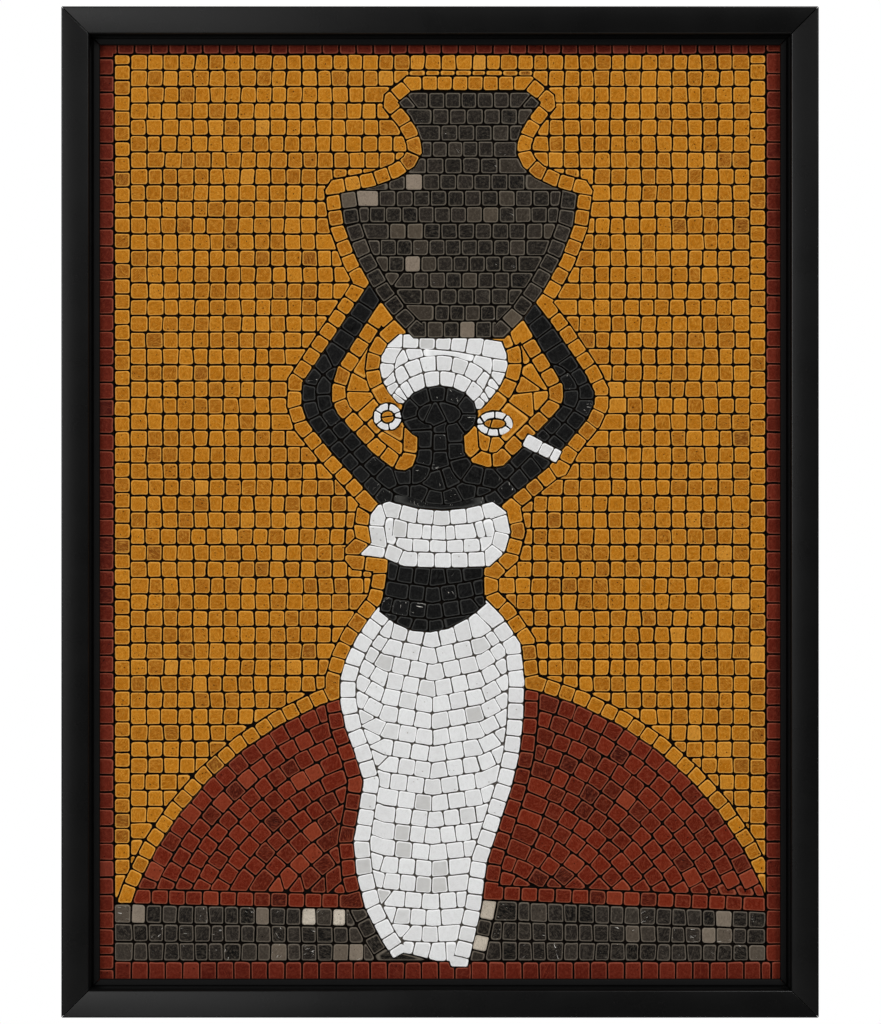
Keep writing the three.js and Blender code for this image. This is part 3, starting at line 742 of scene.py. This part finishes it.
def along_line(line: np.ndarray, place: float) -> np.ndarray:
    """Returns the point at a place along a line, counted in its points."""
    i = min(int(place), len(line) - 2)
    return line[i] + (line[i + 1] - line[i]) * (place - i)


def crossing(one: Cut, other: Cut) -> bool:
    """Tells whether two cuts cross."""
    a, b, c, d = *one.points, *other.points
    return bool(
        cross(b - a, c - a) * cross(b - a, d - a) < 0 and cross(d - c, a - c) * cross(d - c, b - c) < 0
    )


@dataclass
class Cutter:
    """The hand that cuts courses into stones."""

    laying: Laying
    pitch: float = ROW
    width: float = COURSE
    seed: int = 1
    columns: float = COURSE
    first_column: float = 0.0
    largest: float = 1.5  # a part this many times a stone's area is cut again
    narrowest: float = 1.9  # a part narrower than this is left to the mortar
    tallest: float = 1.02 * ROW  # a taller course isn't a straight row
    rng: np.random.Generator = field(init=False)

    def __post_init__(self) -> None:
        """Seeds the small differences of hand work."""
        self.rng = np.random.default_rng(self.seed)

    def stones(self, course: Course) -> list[np.ndarray]:
        """Cuts a course into stones.

        Args:
            course: The course.

        Returns:
            The stones' outlines.
        """
        height = np.ptp(course.loops[0][:, 1])
        straight = self.laying is Laying.COLUMNS and len(course.loops) == 1 and height < self.tallest
        cuts = self.column_cuts(course) if straight else self.square_cuts(course)
        cuts += self.opening_cuts(course, cuts)
        parts = course.split(cuts, JOINT * self.rng.uniform(0.8, 1.1))
        stones = [tidy(stone) for part in parts for stone in self.smaller(part, again=bool(cuts))]
        return [stone for stone in stones if breadth(stone) > self.narrowest]

    def column_cuts(self, course: Course) -> list[Cut]:
        """Cuts a straight row near the common columns, with no sliver at its ends."""
        loop = course.loops[0]
        low, high = loop[:, 0].min(), loop[:, 0].max()
        cuts: list[Cut] = []
        slip = self.rng.normal(0, 0.5)
        number = math.ceil((low - self.first_column) / self.columns)
        while self.first_column + number * self.columns < high:
            across = self.first_column + number * self.columns + slip + self.rng.normal(0, 0.45)
            lean = self.rng.normal(0, 0.035)
            number += 1
            for bottom, top in course.sections(across):
                middle = np.array([across, (bottom + top) / 2])
                cut = course.chord(middle, np.array([math.sin(lean), math.cos(lean)]))
                sideways = [course.hit(middle, np.array([way, 0.0])) for way in (1.0, -1.0)]
                clear = all(place and place[0] > 0.38 * self.columns for place in sideways)
                if cut and clear and cut.length < 1.5 * ROW and course.accepts(cut, cuts, 2.5):
                    cuts.append(cut)
        return cuts

    def square_cuts(self, course: Course) -> list[Cut]:
        """Cuts a course square to its run, in stones of even length."""
        run = course.area() / self.width
        pitch = run / max(1, round(run / self.pitch))
        cuts: list[Cut] = []
        for loop, points in enumerate(course.loops):
            whole = course.runs[loop][-1]
            start = self.sharpest(points, course.runs[loop])
            for step in np.arange(0.4, whole, 0.6):
                here = course.at(loop, start + step)
                ahead = course.at(loop, start + step + 2.2) - course.at(loop, start + step - 2.2)
                straight = float(np.linalg.norm(ahead))
                if straight < 3.9:
                    continue
                inwards = np.array([-ahead[1], ahead[0]]) / straight
                place = course.hit(here + inwards * 0.02, inwards)
                if not place or not 0.45 * self.width < place[0] < 1.7 * self.width or place[3] < 0.75:
                    continue
                cut = Cut((loop, place[1]), ((start + step) % whole, place[2]),
                          [here, here + inwards * place[0]], place[3])
                if self.fits(course, cut, cuts, pitch):
                    cuts.append(cut)
        return cuts

    def fits(self, course: Course, cut: Cut, cuts: list[Cut], pitch: float) -> bool:
        """Tells whether a cut keeps a stone's length from the others and from the course's ends."""
        spacing = pitch * (0.99 if cuts else 1.0)
        if any(np.linalg.norm(cut.middle - other.middle) < spacing for other in cuts):
            return False
        along = np.array([cut.points[1][1] - cut.points[0][1], cut.points[0][0] - cut.points[1][0]]) / cut.length
        for way in (along, -along):
            place = course.hit(cut.middle, way)
            least = 0.52 * pitch if cuts else 0.6 * pitch
            if place is None or place[0] < least:
                return False
        return course.accepts(cut, cuts, 2.0)

    @staticmethod
    def sharpest(points: np.ndarray, runs: np.ndarray) -> float:
        """Returns the distance along an outline of its sharpest corner."""
        before = points - np.roll(points, 1, axis=0)
        after = np.roll(points, -1, axis=0) - points
        turns = np.arctan2(cross(before, after), (before * after).sum(axis=1))
        return float(runs[int(np.argmax(turns))])

    def opening_cuts(self, course: Course, cuts: list[Cut]) -> list[Cut]:
        """Joins each hole that no cut meets to what is around it."""
        extra: list[Cut] = []
        for loop in range(1, len(course.loops)):
            if any(loop in cut.loops for cut in cuts + extra):
                continue
            for step in np.arange(0.5, course.runs[loop][-1], 0.7):
                here = course.at(loop, step)
                ahead = course.at(loop, step + 1) - course.at(loop, step - 1)
                inwards = np.array([-ahead[1], ahead[0]]) / np.linalg.norm(ahead)
                place = course.hit(here + inwards * 0.02, inwards)
                if not place or place[1] == loop:
                    continue
                cut = Cut((loop, place[1]), (step, place[2]), [here, here + inwards * place[0]], place[3])
                if course.accepts(cut, cuts + extra, 2.0):
                    extra.append(cut)
                    break
        return extra

    def smaller(self, outline: np.ndarray, again: bool) -> list[np.ndarray]:
        """Cuts a large part again until its pieces are the size of a stone.

        Args:
            outline: The part's outline.
            again: Whether it is first cut square to its run.

        Returns:
            The pieces' outlines.
        """
        if area_of(outline) < self.largest * self.pitch * self.width:
            return [outline]
        part = Course([outline])
        cuts = self.square_cuts(part) if again else []
        if cuts:
            return [stone for piece in part.split(cuts, JOINT) for stone in self.smaller(piece, False)]
        corners = tidy(outline)
        centre = corners.mean(axis=0)
        _, ways = np.linalg.eigh(np.cov((corners - centre).T))
        lean = self.rng.normal(0, 0.12)
        turn = np.array([[math.cos(lean), -math.sin(lean)], [math.sin(lean), math.cos(lean)]])
        for shift in (0.0, 0.2, -0.2, 0.35, -0.35):
            middle = centre + ways[:, 1] * shift * math.sqrt(area_of(outline))
            if not part.holds(middle):
                continue
            cut = part.chord(middle, turn @ ways[:, 0])
            if cut is None:
                continue
            pieces = part.split([cut], JOINT)
            if len(pieces) == 2 and min(map(area_of, pieces)) > 0.2 * area_of(outline):
                return [stone for piece in pieces for stone in self.smaller(piece, False)]
        return [outline]


def breadth(outline: np.ndarray) -> float:
    """Returns about how broad a stone is across its narrow way."""
    around = np.linalg.norm(np.roll(outline, -1, axis=0) - outline, axis=1).sum()
    return 2 * area_of(outline) / max(around / 2, 1e-9)


def rounded(outline: np.ndarray, radius: float, rng: np.random.Generator) -> np.ndarray:
    """Rounds a stone's corners, each a little differently, and bends its longer sides.

    Args:
        outline: The stone's outline.
        radius: The usual radius of a corner.
        rng: The source of small differences.

    Returns:
        The rounded outline.
    """
    points = []
    for i, corner in enumerate(outline):
        before, after = outline[i - 1] - corner, outline[(i + 1) % len(outline)] - corner
        long_before, long_after = np.linalg.norm(before), np.linalg.norm(after)
        turn = math.pi - math.acos(np.clip(before @ after / (long_before * long_after), -1, 1))
        if turn < math.radians(22) or cross(-before, after) < 0:
            points.append(corner)
        else:
            size = radius * rng.uniform(0.55, 1.45)
            cut_back = min(size * math.tan(turn / 2), 0.38 * long_before, 0.38 * long_after)
            start, end = corner + before / long_before * cut_back, corner + after / long_after * cut_back
            bulge = 0.42 if turn < 2 else 0.3
            points += [start, (start + end) / 2 * (1 - bulge) + corner * bulge, end]
        if long_after > 6 and rng.random() < 0.5:
            share = rng.uniform(0.4, 0.6)
            across = np.array([after[1], -after[0]]) / long_after
            points.append(corner + after * share + across * rng.normal(0, 0.12))
    return np.array(points)


def shrunk(outline: np.ndarray, distance: float) -> np.ndarray:
    """Moves a stone's sides inwards.

    Args:
        outline: The stone's outline.
        distance: How far its sides move.

    Returns:
        The smaller outline.
    """
    ways = np.roll(outline, -1, axis=0) - outline
    ways /= np.linalg.norm(ways, axis=1)[:, None].clip(1e-9)
    after = np.stack([-ways[:, 1], ways[:, 0]], axis=1)
    before = np.roll(after, 1, axis=0)
    reach = distance / (1 + (before * after).sum(axis=1)).clip(0.4)
    return outline + (before + after) * reach[:, None]


def tidy(outline: np.ndarray, nearest: float = 0.8, flattest: float = 0.16) -> np.ndarray:
    """Leaves out corners that a hand-cut stone wouldn't show.

    Args:
        outline: The stone's outline.
        nearest: Corners closer than this become one, in millimetres.
        flattest: Corners that stand out less than this are left out, in millimetres.

    Returns:
        The simpler outline.
    """
    points = list(outline)
    changed = True
    while changed and len(points) > 3:
        changed = False
        for i, point in enumerate(points):
            before, after = points[i - 1], points[(i + 1) % len(points)]
            base = after - before
            proud = abs(cross(base, point - before)) / max(np.linalg.norm(base), 1e-9)
            if np.linalg.norm(point - before) < nearest or proud < flattest:
                points.pop(i)
                changed = True
                break
    return np.array(points)


def curve(points: tuple[tuple[float, float], ...], steps: int = 6) -> np.ndarray:
    """Draws a smooth line through points.

    Args:
        points: The points, in order.
        steps: Steps from each point to the next.

    Returns:
        The line's points.
    """
    knots = np.array(points, float)
    if len(knots) == 2:
        return knots
    ends = np.vstack([2 * knots[0] - knots[1], knots, 2 * knots[-1] - knots[-2]])
    line = []
    for p, q, r, s in zip(ends, ends[1:], ends[2:], ends[3:]):
        for t in np.arange(steps) / steps:
            line.append(0.5 * (2 * q + (r - p) * t + (2 * p - 5 * q + 4 * r - s) * t**2
                               + (3 * q - p - 3 * r + s) * t**3))
    return np.array([*line, knots[-1]])


def courses_on(node: bpy.types.Object, depth: float) -> list[Course]:
    """Reads the flat faces of a field's solid at one depth.

    Args:
        node: The field's solid.
        depth: How far out from the wall the faces are, in millimetres.

    Returns:
        One course for each face that joints part from the others.
    """
    solid = bmesh.new()
    solid.from_mesh(node.data)
    bmesh.ops.remove_doubles(solid, verts=solid.verts, dist=2e-6)
    level = -depth * MM
    front = {face for face in solid.faces if all(abs(v.co.y - level) < SAME_LEVEL * MM for v in face.verts)}
    courses = []
    while front:
        island, edge_faces = [], [front.pop()]
        while edge_faces:
            face = edge_faces.pop()
            island.append(face)
            for edge in face.edges:
                for beside in edge.link_faces:
                    if beside in front:
                        front.remove(beside)
                        edge_faces.append(beside)
        loops = outlines_of(island)
        if area_of(loops[0]) < 0:
            loops = [loop[::-1] for loop in loops]
        courses.append(Course(loops))
    solid.free()
    return courses


def outlines_of(island: list[bmesh.types.BMFace]) -> list[np.ndarray]:
    """Returns the outlines of joined faces, the longest first, in millimetres."""
    faces = set(island)
    after: dict = {}
    for face in island:
        for loop in face.loops:
            if not any(beside in faces for beside in loop.edge.link_faces if beside is not face):
                after.setdefault(loop.vert, []).append(loop.link_loop_next.vert)
    outlines = []
    while after:
        vertex = first = next(iter(after))
        points = []
        while vertex in after:
            points.append((vertex.co.x / MM, vertex.co.z / MM))
            following = after[vertex].pop()
            if not after[vertex]:
                del after[vertex]
            vertex = following
            if vertex is first:
                break
        if len(points) > 2:
            outlines.append(np.array(points))
    return sorted(outlines, key=lambda points: -abs(area_of(points)))


# ---------------------------------------------------------------- sub-assemblies


def deselect_all() -> None:
    """Deselects every object."""
    bpy.ops.object.select_all(action="DESELECT")


def pick(obj: bpy.types.Object) -> None:
    """Makes an object the only one selected, and the active one."""
    deselect_all()
    obj.select_set(True)
    bpy.context.view_layer.objects.active = obj


def copy_of(node: bpy.types.Object, name: str) -> bpy.types.Object:
    """Returns a copy of a solid with a mesh and a name of its own."""
    copy = node.copy()
    copy.data = node.data.copy()
    copy.name = copy.data.name = name
    copy.data.materials.clear()
    copy.parent = None
    bpy.context.collection.objects.link(copy)
    return copy


@dataclass
class StoneField:
    """A field of stones on its bed of mortar, laid over the courses of its solid."""

    node: str
    slot: str
    marble: Marble
    laying: Laying = Laying.ALONG
    pitch: float = ROW
    width: float = COURSE
    seed: int = 1
    drawn: tuple[tuple[tuple[float, float], ...], ...] = ()  # joints drawn through the bare outline
    joint: float = 1.1  # how wide the joints look between the worn stones
    round_corner: float = 1.25  # radius of a stone's corners
    rim_width: float = 0.95
    rim_fall: float = 0.45
    widest_rim: float = 0.4  # the most of the way to a stone's middle that its rim takes
    unevenness: float = 0.13  # how far a stone's face stands out or in
    tilt: float = 0.012  # how far a stone's face leans, as a slope
    spread: float = 0.17  # how much the stones differ in tone
    tallest: float = 1.02 * ROW  # a taller course isn't a straight row
    mortar: Mortar = DARK_MORTAR

    def build(self, frame: dict) -> bpy.types.Object:
        """Makes the field.

        Args:
            frame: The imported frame.

        Returns:
            The finished field.
        """
        node = frame["nodes"][self.node]
        cutter = Cutter(self.laying, self.pitch, self.width, self.seed, tallest=self.tallest)
        outlines = [stone for course in self.courses(node) for stone in cutter.stones(course)]
        stones = self.lay(outlines, cutter.rng)
        self.settle(stones, len(outlines), cutter.rng)
        bed = self.bed(node)
        self.dress(stones, bed)
        pick(stones)
        bed.select_set(True)
        bpy.ops.object.join()
        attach(stones, "root")
        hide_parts(self.node)
        log.info("%s: %d stones, %d faces", self.node, len(outlines), len(stones.data.polygons))
        return stones

    def courses(self, node: bpy.types.Object) -> list[Course]:
        """Returns the courses of the solid's own joints, or those between the drawn joints."""
        if not self.drawn:
            return courses_on(node, STONE_FRONT)
        courses = courses_on(node, BED_BACK)
        for line in self.drawn:
            joint = curve(line) + (0, MIDDLE_HEIGHT)
            courses = [part for course in courses for part in course.parted(joint, JOINT)]
        return courses

    def lay(self, outlines: list[np.ndarray], rng: np.random.Generator) -> bpy.types.Object:
        """Lays the stones: a wall out of the mortar, a worn rim in two slopes and a flat face.

        The rims are rings drawn in to each stone's middle, because an inset folds at sharp corners.

        Args:
            outlines: The stones' outlines, in millimetres.
            rng: The source of small differences.

        Returns:
            One object with all the stones.
        """
        points, faces, numbers = [], [], []
        for number, outline in enumerate(outlines):
            cut = shrunk(outline, (self.joint - JOINT) / 2) + rng.normal(0, 0.12, outline.shape)
            worn = rounded(cut, self.round_corner, rng)
            middle = worn.mean(axis=0)
            width = min(self.rim_width / (breadth(worn) / 2), self.widest_rim)
            rings = (
                (MORTAR_FRONT - 0.4, 1.0),
                (STONE_FRONT - self.rim_fall, 1.0),
                (STONE_FRONT - 0.2 * self.rim_fall, 1 - 0.38 * width),
                (STONE_FRONT, 1 - width),
            )
            count, first = len(worn), len(points)
            for level, share in rings:
                points += [(x * MM, -level * MM, z * MM) for x, z in middle + (worn - middle) * share]
            for ring in range(len(rings) - 1):
                here = first + ring * count
                faces += [(here + i, here + (i + 1) % count, here + count + (i + 1) % count, here + count + i)
                          for i in range(count)]
            faces.append(range(len(points) - count, len(points)))
            numbers += [float(number)] * (len(points) - first)
        mesh = bpy.data.meshes.new(f"{self.node}_stones")
        mesh.from_pydata(points, [], faces)
        mesh.attributes.new("number", "FLOAT", "POINT").data.foreach_set("value", numbers)
        stones = bpy.data.objects.new(mesh.name, mesh)
        bpy.context.collection.objects.link(stones)
        return stones

    def settle(self, stones: bpy.types.Object, count: int, rng: np.random.Generator) -> None:
        """Gives each stone its tone and its own height and lean, and marks the rims for their pale wear and painted
        highlight.

        Args:
            stones: The shaped stones.
            count: How many stones there are.
            rng: The source of small differences.
        """
        mesh = stones.data
        size = len(mesh.vertices)
        places = np.empty(size * 3)
        mesh.vertices.foreach_get("co", places)
        places = places.reshape(-1, 3)
        numbers = np.empty(size)
        mesh.attributes["number"].data.foreach_get("value", numbers)
        numbers = np.rint(numbers).astype(int)
        # Rim mask for the pale edge, partly wear and partly a painted highlight: strongest near the top of the rim's
        # slope.
        fall = (places[:, 1] / MM + STONE_FRONT) / self.rim_fall
        rim = np.interp(fall, (0.0, 0.2, 1.0, 1.6), (0.0, 1.0, 0.55, 0.0))
        tones = rng.random((count, 3))
        tones[:, 0] = rng.normal(0.5, self.spread, count).clip(0, 1)
        mesh.attributes.new("stone", "FLOAT_VECTOR", "POINT").data.foreach_set("vector", tones[numbers].ravel())
        mesh.attributes.new("rim", "FLOAT", "POINT").data.foreach_set("value", rim)
        raised = places[:, 1] < -(MORTAR_FRONT + 0.1) * MM
        totals = np.bincount(numbers, minlength=count).clip(1)
        centres = np.stack([np.bincount(numbers, places[:, i], count) / totals for i in (0, 2)], axis=1)
        leans = rng.normal(0, self.tilt, (count, 2))
        heights = rng.uniform(-self.unevenness, self.unevenness, count) * MM
        offset = ((places[:, [0, 2]] - centres[numbers]) * leans[numbers]).sum(axis=1) + heights[numbers]
        places[raised, 1] += offset.clip(-0.2 * MM, 0.3 * MM)[raised]
        mesh.vertices.foreach_set("co", places.ravel())
        mesh.attributes.remove(mesh.attributes["number"])
        mesh.update()

    def bed(self, node: bpy.types.Object) -> bpy.types.Object:
        """Casts the mortar bed from the back of the field's solid.

        Args:
            node: The field's solid.

        Returns:
            The bed.
        """
        bed = copy_of(node, f"{self.node}_bed")
        pick(bed)
        bpy.ops.object.mode_set(mode="EDIT")
        bpy.ops.mesh.select_mode(type="FACE")
        bpy.ops.mesh.select_all(action="SELECT")
        bpy.ops.mesh.remove_doubles(threshold=2e-6)
        bpy.ops.object.mode_set(mode="OBJECT")
        back = -BED_BACK * MM
        for face in bed.data.polygons:
            face.select = not all(
                abs(bed.data.vertices[i].co.y - back) < SAME_LEVEL * MM for i in face.vertices
            )
        bpy.ops.object.mode_set(mode="EDIT")
        bpy.ops.mesh.delete(type="FACE")
        bpy.ops.mesh.select_all(action="SELECT")
        bpy.ops.mesh.dissolve_limited(angle_limit=math.radians(1))
        bpy.ops.mesh.extrude_region_move(
            TRANSFORM_OT_translate={"value": (0, -(MORTAR_FRONT - BED_BACK) * MM, 0)}
        )
        bpy.ops.mesh.select_all(action="SELECT")
        bpy.ops.mesh.normals_make_consistent(inside=False)
        bpy.ops.object.mode_set(mode="OBJECT")
        return bed

    def dress(self, stones: bpy.types.Object, bed: bpy.types.Object) -> None:
        """Gives the stones their marble and the bed its mortar."""
        stones.data.materials.append(material_of(self.marble))
        bed.data.materials.append(material_of(self.mortar))


_materials: dict = {}


def material_of(finish: Marble | Mortar | Lacquer | Hardboard) -> bpy.types.Material:
    """Returns a finish's material, made the first time it is asked for."""
    if finish not in _materials:
        _materials[finish] = finish.material()
    return _materials[finish]


@dataclass
class Moulding:
    """The four mitred rails, with their arrises eased as a sprayed moulding's are."""

    rails: tuple[str, ...] = ("frame_rail_top", "frame_rail_right", "frame_rail_bottom", "frame_rail_left")
    face_width: float = 18.4  # from the outer edge to the step
    ease: float = 0.45

    def build(self, frame: dict, box: list) -> None:
        """Makes the rails from their solids.

        Args:
            frame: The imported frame.
            box: The panel's lowest and highest corners.
        """
        for name in self.rails:
            rail = copy_of(frame["nodes"][name], name.replace("frame_rail", "moulding"))
            pick(rail)
            bpy.ops.object.mode_set(mode="EDIT")
            bpy.ops.mesh.select_mode(type="FACE")
            bpy.ops.mesh.select_all(action="SELECT")
            bpy.ops.mesh.remove_doubles(threshold=2e-6)
            bpy.ops.mesh.dissolve_limited(angle_limit=math.radians(1))
            bpy.ops.object.mode_set(mode="OBJECT")
            ease = rail.modifiers.new("ease", "BEVEL")
            ease.width = self.ease * MM
            ease.segments = 3
            ease.limit_method = "ANGLE"
            ease.angle_limit = math.radians(35)
            bpy.ops.object.modifier_apply(modifier=ease.name)
            bpy.ops.object.shade_smooth_by_angle(angle=math.radians(40))
            self.coat(rail, box)
            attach(rail, "root")
            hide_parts(name)
            log.info("%s: %d faces", rail.name, len(rail.data.polygons))

    def coat(self, rail: bpy.types.Object, box: list) -> None:
        """Coats a rail, satin outside and, from the step inwards, a matt duller copy that stands in for the shade in
        the recess.

        Args:
            rail: The rail.
            box: The panel's lowest and highest corners.
        """
        low, high = box
        rail.data.materials.append(material_of(SATIN_LACQUER))
        rail.data.materials.append(material_of(MATT_STEP_SHADE_LACQUER))
        for face in rail.data.polygons:
            x, _, z = face.center
            inwards = min(x - low[0], high[0] - x, z - low[2], high[2] - z)
            face.material_index = int(inwards > (self.face_width - 0.1) * MM)


@dataclass
class Backing:
    """The board in the rebate, kept as it is and given its finish."""

    node: str = "backing_board"
    finish: Hardboard = Hardboard()

    def build(self, frame: dict) -> None:
        """Dresses the board's own solid.

        Args:
            frame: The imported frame.
        """
        board = frame["nodes"][self.node]
        board.data.materials.clear()
        board.data.materials.append(material_of(self.finish))
        log.info("%s: dressed", self.node)


@dataclass
class Studio:
    """Pale floor, soft lights and the camera."""

    view_width: float = 585.7  # what the camera takes in at the panel, in millimetres
    view_height: float = 680.8
    lens: float = 150.0
    floor_drop: float = 0.9
    floor_radius: float = 2.2

    def build(self, box: tuple) -> None:
        """Sets the studio around the panel.

        Args:
            box: The panel's lowest and highest corners.
        """
        low, high = box
        centre = (np.array(low) + np.array(high)) / 2
        self.floor(low[2] - self.floor_drop)
        self.world()
        self.lights(centre)
        self.camera(centre, low[1])

    def floor(self, level: float) -> None:
        """Lays the floor.

        Args:
            level: Its height.
        """
        deselect_all()
        bpy.ops.mesh.primitive_cylinder_add(
            vertices=96, radius=self.floor_radius, depth=0.02, location=(0, 0, level - 0.01)
        )
        floor = bpy.context.object
        floor.name = "studio_floor"
        bpy.ops.object.transform_apply(location=True)
        material, tree, shader = new_material("pale_studio_floor")
        place = add_node(tree, "TexCoord").outputs["Object"]
        cloud = add_node(tree, "TexNoise", {"Vector": place, "Scale": 2.0}).outputs[0]
        tree.links.new(add_ramp(tree, cloud, ((0.3, "#E4E3E0"), (0.7, "#EAE9E7"))), shader.inputs["Base Color"])
        shader.inputs["Roughness"].default_value = 0.8
        floor.data.materials.append(material)
        floor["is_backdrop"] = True

    @staticmethod
    def world() -> None:
        """Makes the surroundings white to the camera and a soft fill to the panel."""
        world = bpy.data.worlds.new("studio")
        bpy.context.scene.world = world
        bpy.context.scene.view_settings.view_transform = "Standard"
        world.use_nodes = True
        tree = world.node_tree
        tree.nodes.clear()
        seen = add_node(tree, "LightPath").outputs["Is Camera Ray"]
        fill = add_node(tree, "Background", {"Color": (1, 1, 1, 1), "Strength": 0.1})
        white = add_node(tree, "Background", {"Color": (1, 1, 1, 1), "Strength": 1.0})
        both = add_node(tree, "MixShader", {0: seen, 1: fill.outputs[0], 2: white.outputs[0]})
        add_node(tree, "OutputWorld", {"Surface": both.outputs[0]})

    @staticmethod
    def lights(centre: np.ndarray) -> None:
        """Hangs a key light high on the right, a fill on the left and two faint cards by the camera.

        Args:
            centre: The panel's centre.
        """
        places = (
            ("key", (3.5, -4.4, 4.3), (2.4, 2.4), 320.0),
            ("fill", (-3.6, -4.6, 1.2), (3.0, 3.0), 120.0),
            ("left_card", (-1.05, -3.4, 0.1), (1.1, 3.2), 14.0),
            ("top_card", (0.0, -3.4, 1.3), (3.6, 0.9), 3.5),
        )
        for name, place, (width, height), power in places:
            light = bpy.data.lights.new(name, "AREA")
            light.shape = "ELLIPSE"
            light.size = width
            light.size_y = height
            light.energy = power
            lamp = bpy.data.objects.new(name, light)
            lamp.location = centre + np.array(place)
            way = Vector(centre) - lamp.location
            lamp.rotation_euler = way.to_track_quat("-Z", "Y").to_euler()
            bpy.context.collection.objects.link(lamp)

    def camera(self, centre: np.ndarray, front: float) -> None:
        """Stands the camera square in front of the panel.

        Args:
            centre: The panel's centre.
            front: The y of the panel's front.
        """
        camera = bpy.data.cameras.new("camera")
        camera.lens = self.lens
        camera.sensor_width = 36.0
        camera.sensor_fit = "AUTO"
        distance = self.view_height * MM * self.lens / camera.sensor_width
        stand = bpy.data.objects.new("camera", camera)
        stand.location = (centre[0] + 0.3 * MM, front - distance, centre[2])
        stand.rotation_euler = (math.pi / 2, 0, 0)
        bpy.context.collection.objects.link(stand)
        bpy.context.scene.camera = stand


def arc(x: float, z: float, width: float, height: float, start: float, end: float) -> tuple:
    """Returns points on an oval arc.

    Args:
        x: Its centre, from the panel's middle.
        z: Its centre's height, from the panel's middle.
        width: Half its width.
        height: Half its height.
        start: The angle where it starts, in degrees.
        end: The angle where it ends, in degrees.

    Returns:
        The points, about every 25 degrees.
    """
    steps = max(2, round(abs(end - start) / 25))
    angles = np.radians(np.linspace(start, end, steps + 1))
    return tuple((x + width * math.cos(a), z + height * math.sin(a)) for a in angles)


# Joints drawn through the figure, in millimetres from the panel's middle.
HEAD = (-0.5, 65.5)
FIGURE_JOINTS = (
    # between the arms' two rows, and along the chest's lowest row
    ((-60, 101), (-74, 95), (-82, 86), (-82.5, 74), (-77, 61), (-58, 38), (-40, 19), (-24, 10), (0, 4.5),
     (22, 8.5), (38, 16), (56, 33), (76, 54)),
    # inside the course that follows shoulders, neck and head
    ((-36, 14), (-26, 18), (-15, 18.5), (-8, 24), (-5, 34), (-5.2, 47), *arc(*HEAD, 14.9, 8.4, -108, -432),
     (4.9, 47), (5.5, 36), (9, 26), (16, 19.5), (26, 17.5), (42, 14)),
    ((-8, 52.4), (8, 52.4)),
    ((-16, 20), (0, 14), (17, 21)),
)
FOREARM_JOINTS = (((68, 44), (84, 61), (92.5, 75), (90.5, 87), (81, 97), (66, 101)),)
WRAP_JOINTS = (
    ((-60, 110), (-27, 109.5), (5, 108), (34, 103), (60, 99)),
    ((-22, 113), (-29, 103), (-30.5, 93), (-27, 83.5), (-20, 73)),
    ((34, 108), (35, 98), (33, 89), (27, 78), (18, 70)),
    arc(*HEAD, 35.5, 28.8, 160, 15),
    arc(*HEAD, 45.8, 39.2, 150, 25),
)


def stone_fields() -> list[StoneField]:
    """Lists the fields of stones in the order in which they are laid."""
    rows = {"laying": Laying.COLUMNS, "pitch": COURSE, "width": ROW}
    band = {"laying": Laying.COLUMNS, "pitch": COURSE, "width": BAND_ROW, "tallest": 1.6 * BAND_ROW}
    small = {"round_corner": 0.7, "rim_width": 0.6, "rim_fall": 0.3}
    close = {"joint": 0.65, "spread": 0.28, "mortar": DUSTY_MORTAR}
    return [
        StoneField("border_course", "red_marble", BORDER_MARBLE, seed=11, unevenness=0.08, joint=1.3),
        StoneField("ochre_ground", "ochre_marble", OCHRE_MARBLE, seed=12, **rows),
        StoneField("ochre_inside_left_arm", "ochre_marble", OCHRE_MARBLE, seed=13),
        StoneField("ochre_inside_right_arm", "ochre_marble", OCHRE_MARBLE, seed=14),
        StoneField("earring_infill_left", "ochre_marble", OCHRE_MARBLE, seed=15, **small),
        StoneField("earring_infill_right", "ochre_marble", OCHRE_MARBLE, seed=16, **small),
        StoneField("hill_left", "hill_marble", HILL_MARBLE, seed=17, spread=0.25),
        StoneField("hill_right", "hill_marble", HILL_MARBLE, seed=18, spread=0.25),
        StoneField("ground_band_left", "brown_marble", BROWN_MARBLE, seed=19, spread=0.27, **band),
        StoneField("ground_band_right", "brown_marble", BROWN_MARBLE, seed=20, spread=0.27, **band),
        StoneField("jar", "jar_marble", JAR_MARBLE, seed=21, spread=0.26),
        StoneField("head_wrap", "white_marble", WHITE_MARBLE, seed=22, drawn=WRAP_JOINTS, **close),
        StoneField("figure_upper", "black_marble", BLACK_MARBLE, seed=23, drawn=FIGURE_JOINTS),
        StoneField("right_forearm", "black_marble", BLACK_MARBLE, seed=24, drawn=FOREARM_JOINTS),
        StoneField("armband", "white_marble", WHITE_MARBLE, seed=25, pitch=8.4, width=8.2, **close),
        StoneField("bandeau", "white_marble", WHITE_MARBLE, seed=26, **close),
        StoneField("waist", "black_marble", BLACK_MARBLE, seed=27),
        StoneField("skirt", "white_marble", WHITE_MARBLE, seed=28, **close),
        StoneField("earring_left", "white_marble", WHITE_MARBLE, seed=29, pitch=7.6, width=4.4, **small),
        StoneField("earring_right", "white_marble", WHITE_MARBLE, seed=30, pitch=7.6, width=4.4, **small),
    ]


def main(frame: dict) -> None:
    """Builds the panel's looks in order.

    Args:
        frame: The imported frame.
    """
    cad_box = [list(corner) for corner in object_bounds()]
    Studio().build(cad_box)
    Moulding().build(frame, cad_box)
    Backing().build(frame)
    for stones in stone_fields():
        stones.build(frame)


if __name__ == "__main__":
    logging.basicConfig(level=logging.INFO, format="%(message)s")
    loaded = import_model()
    main(loaded)
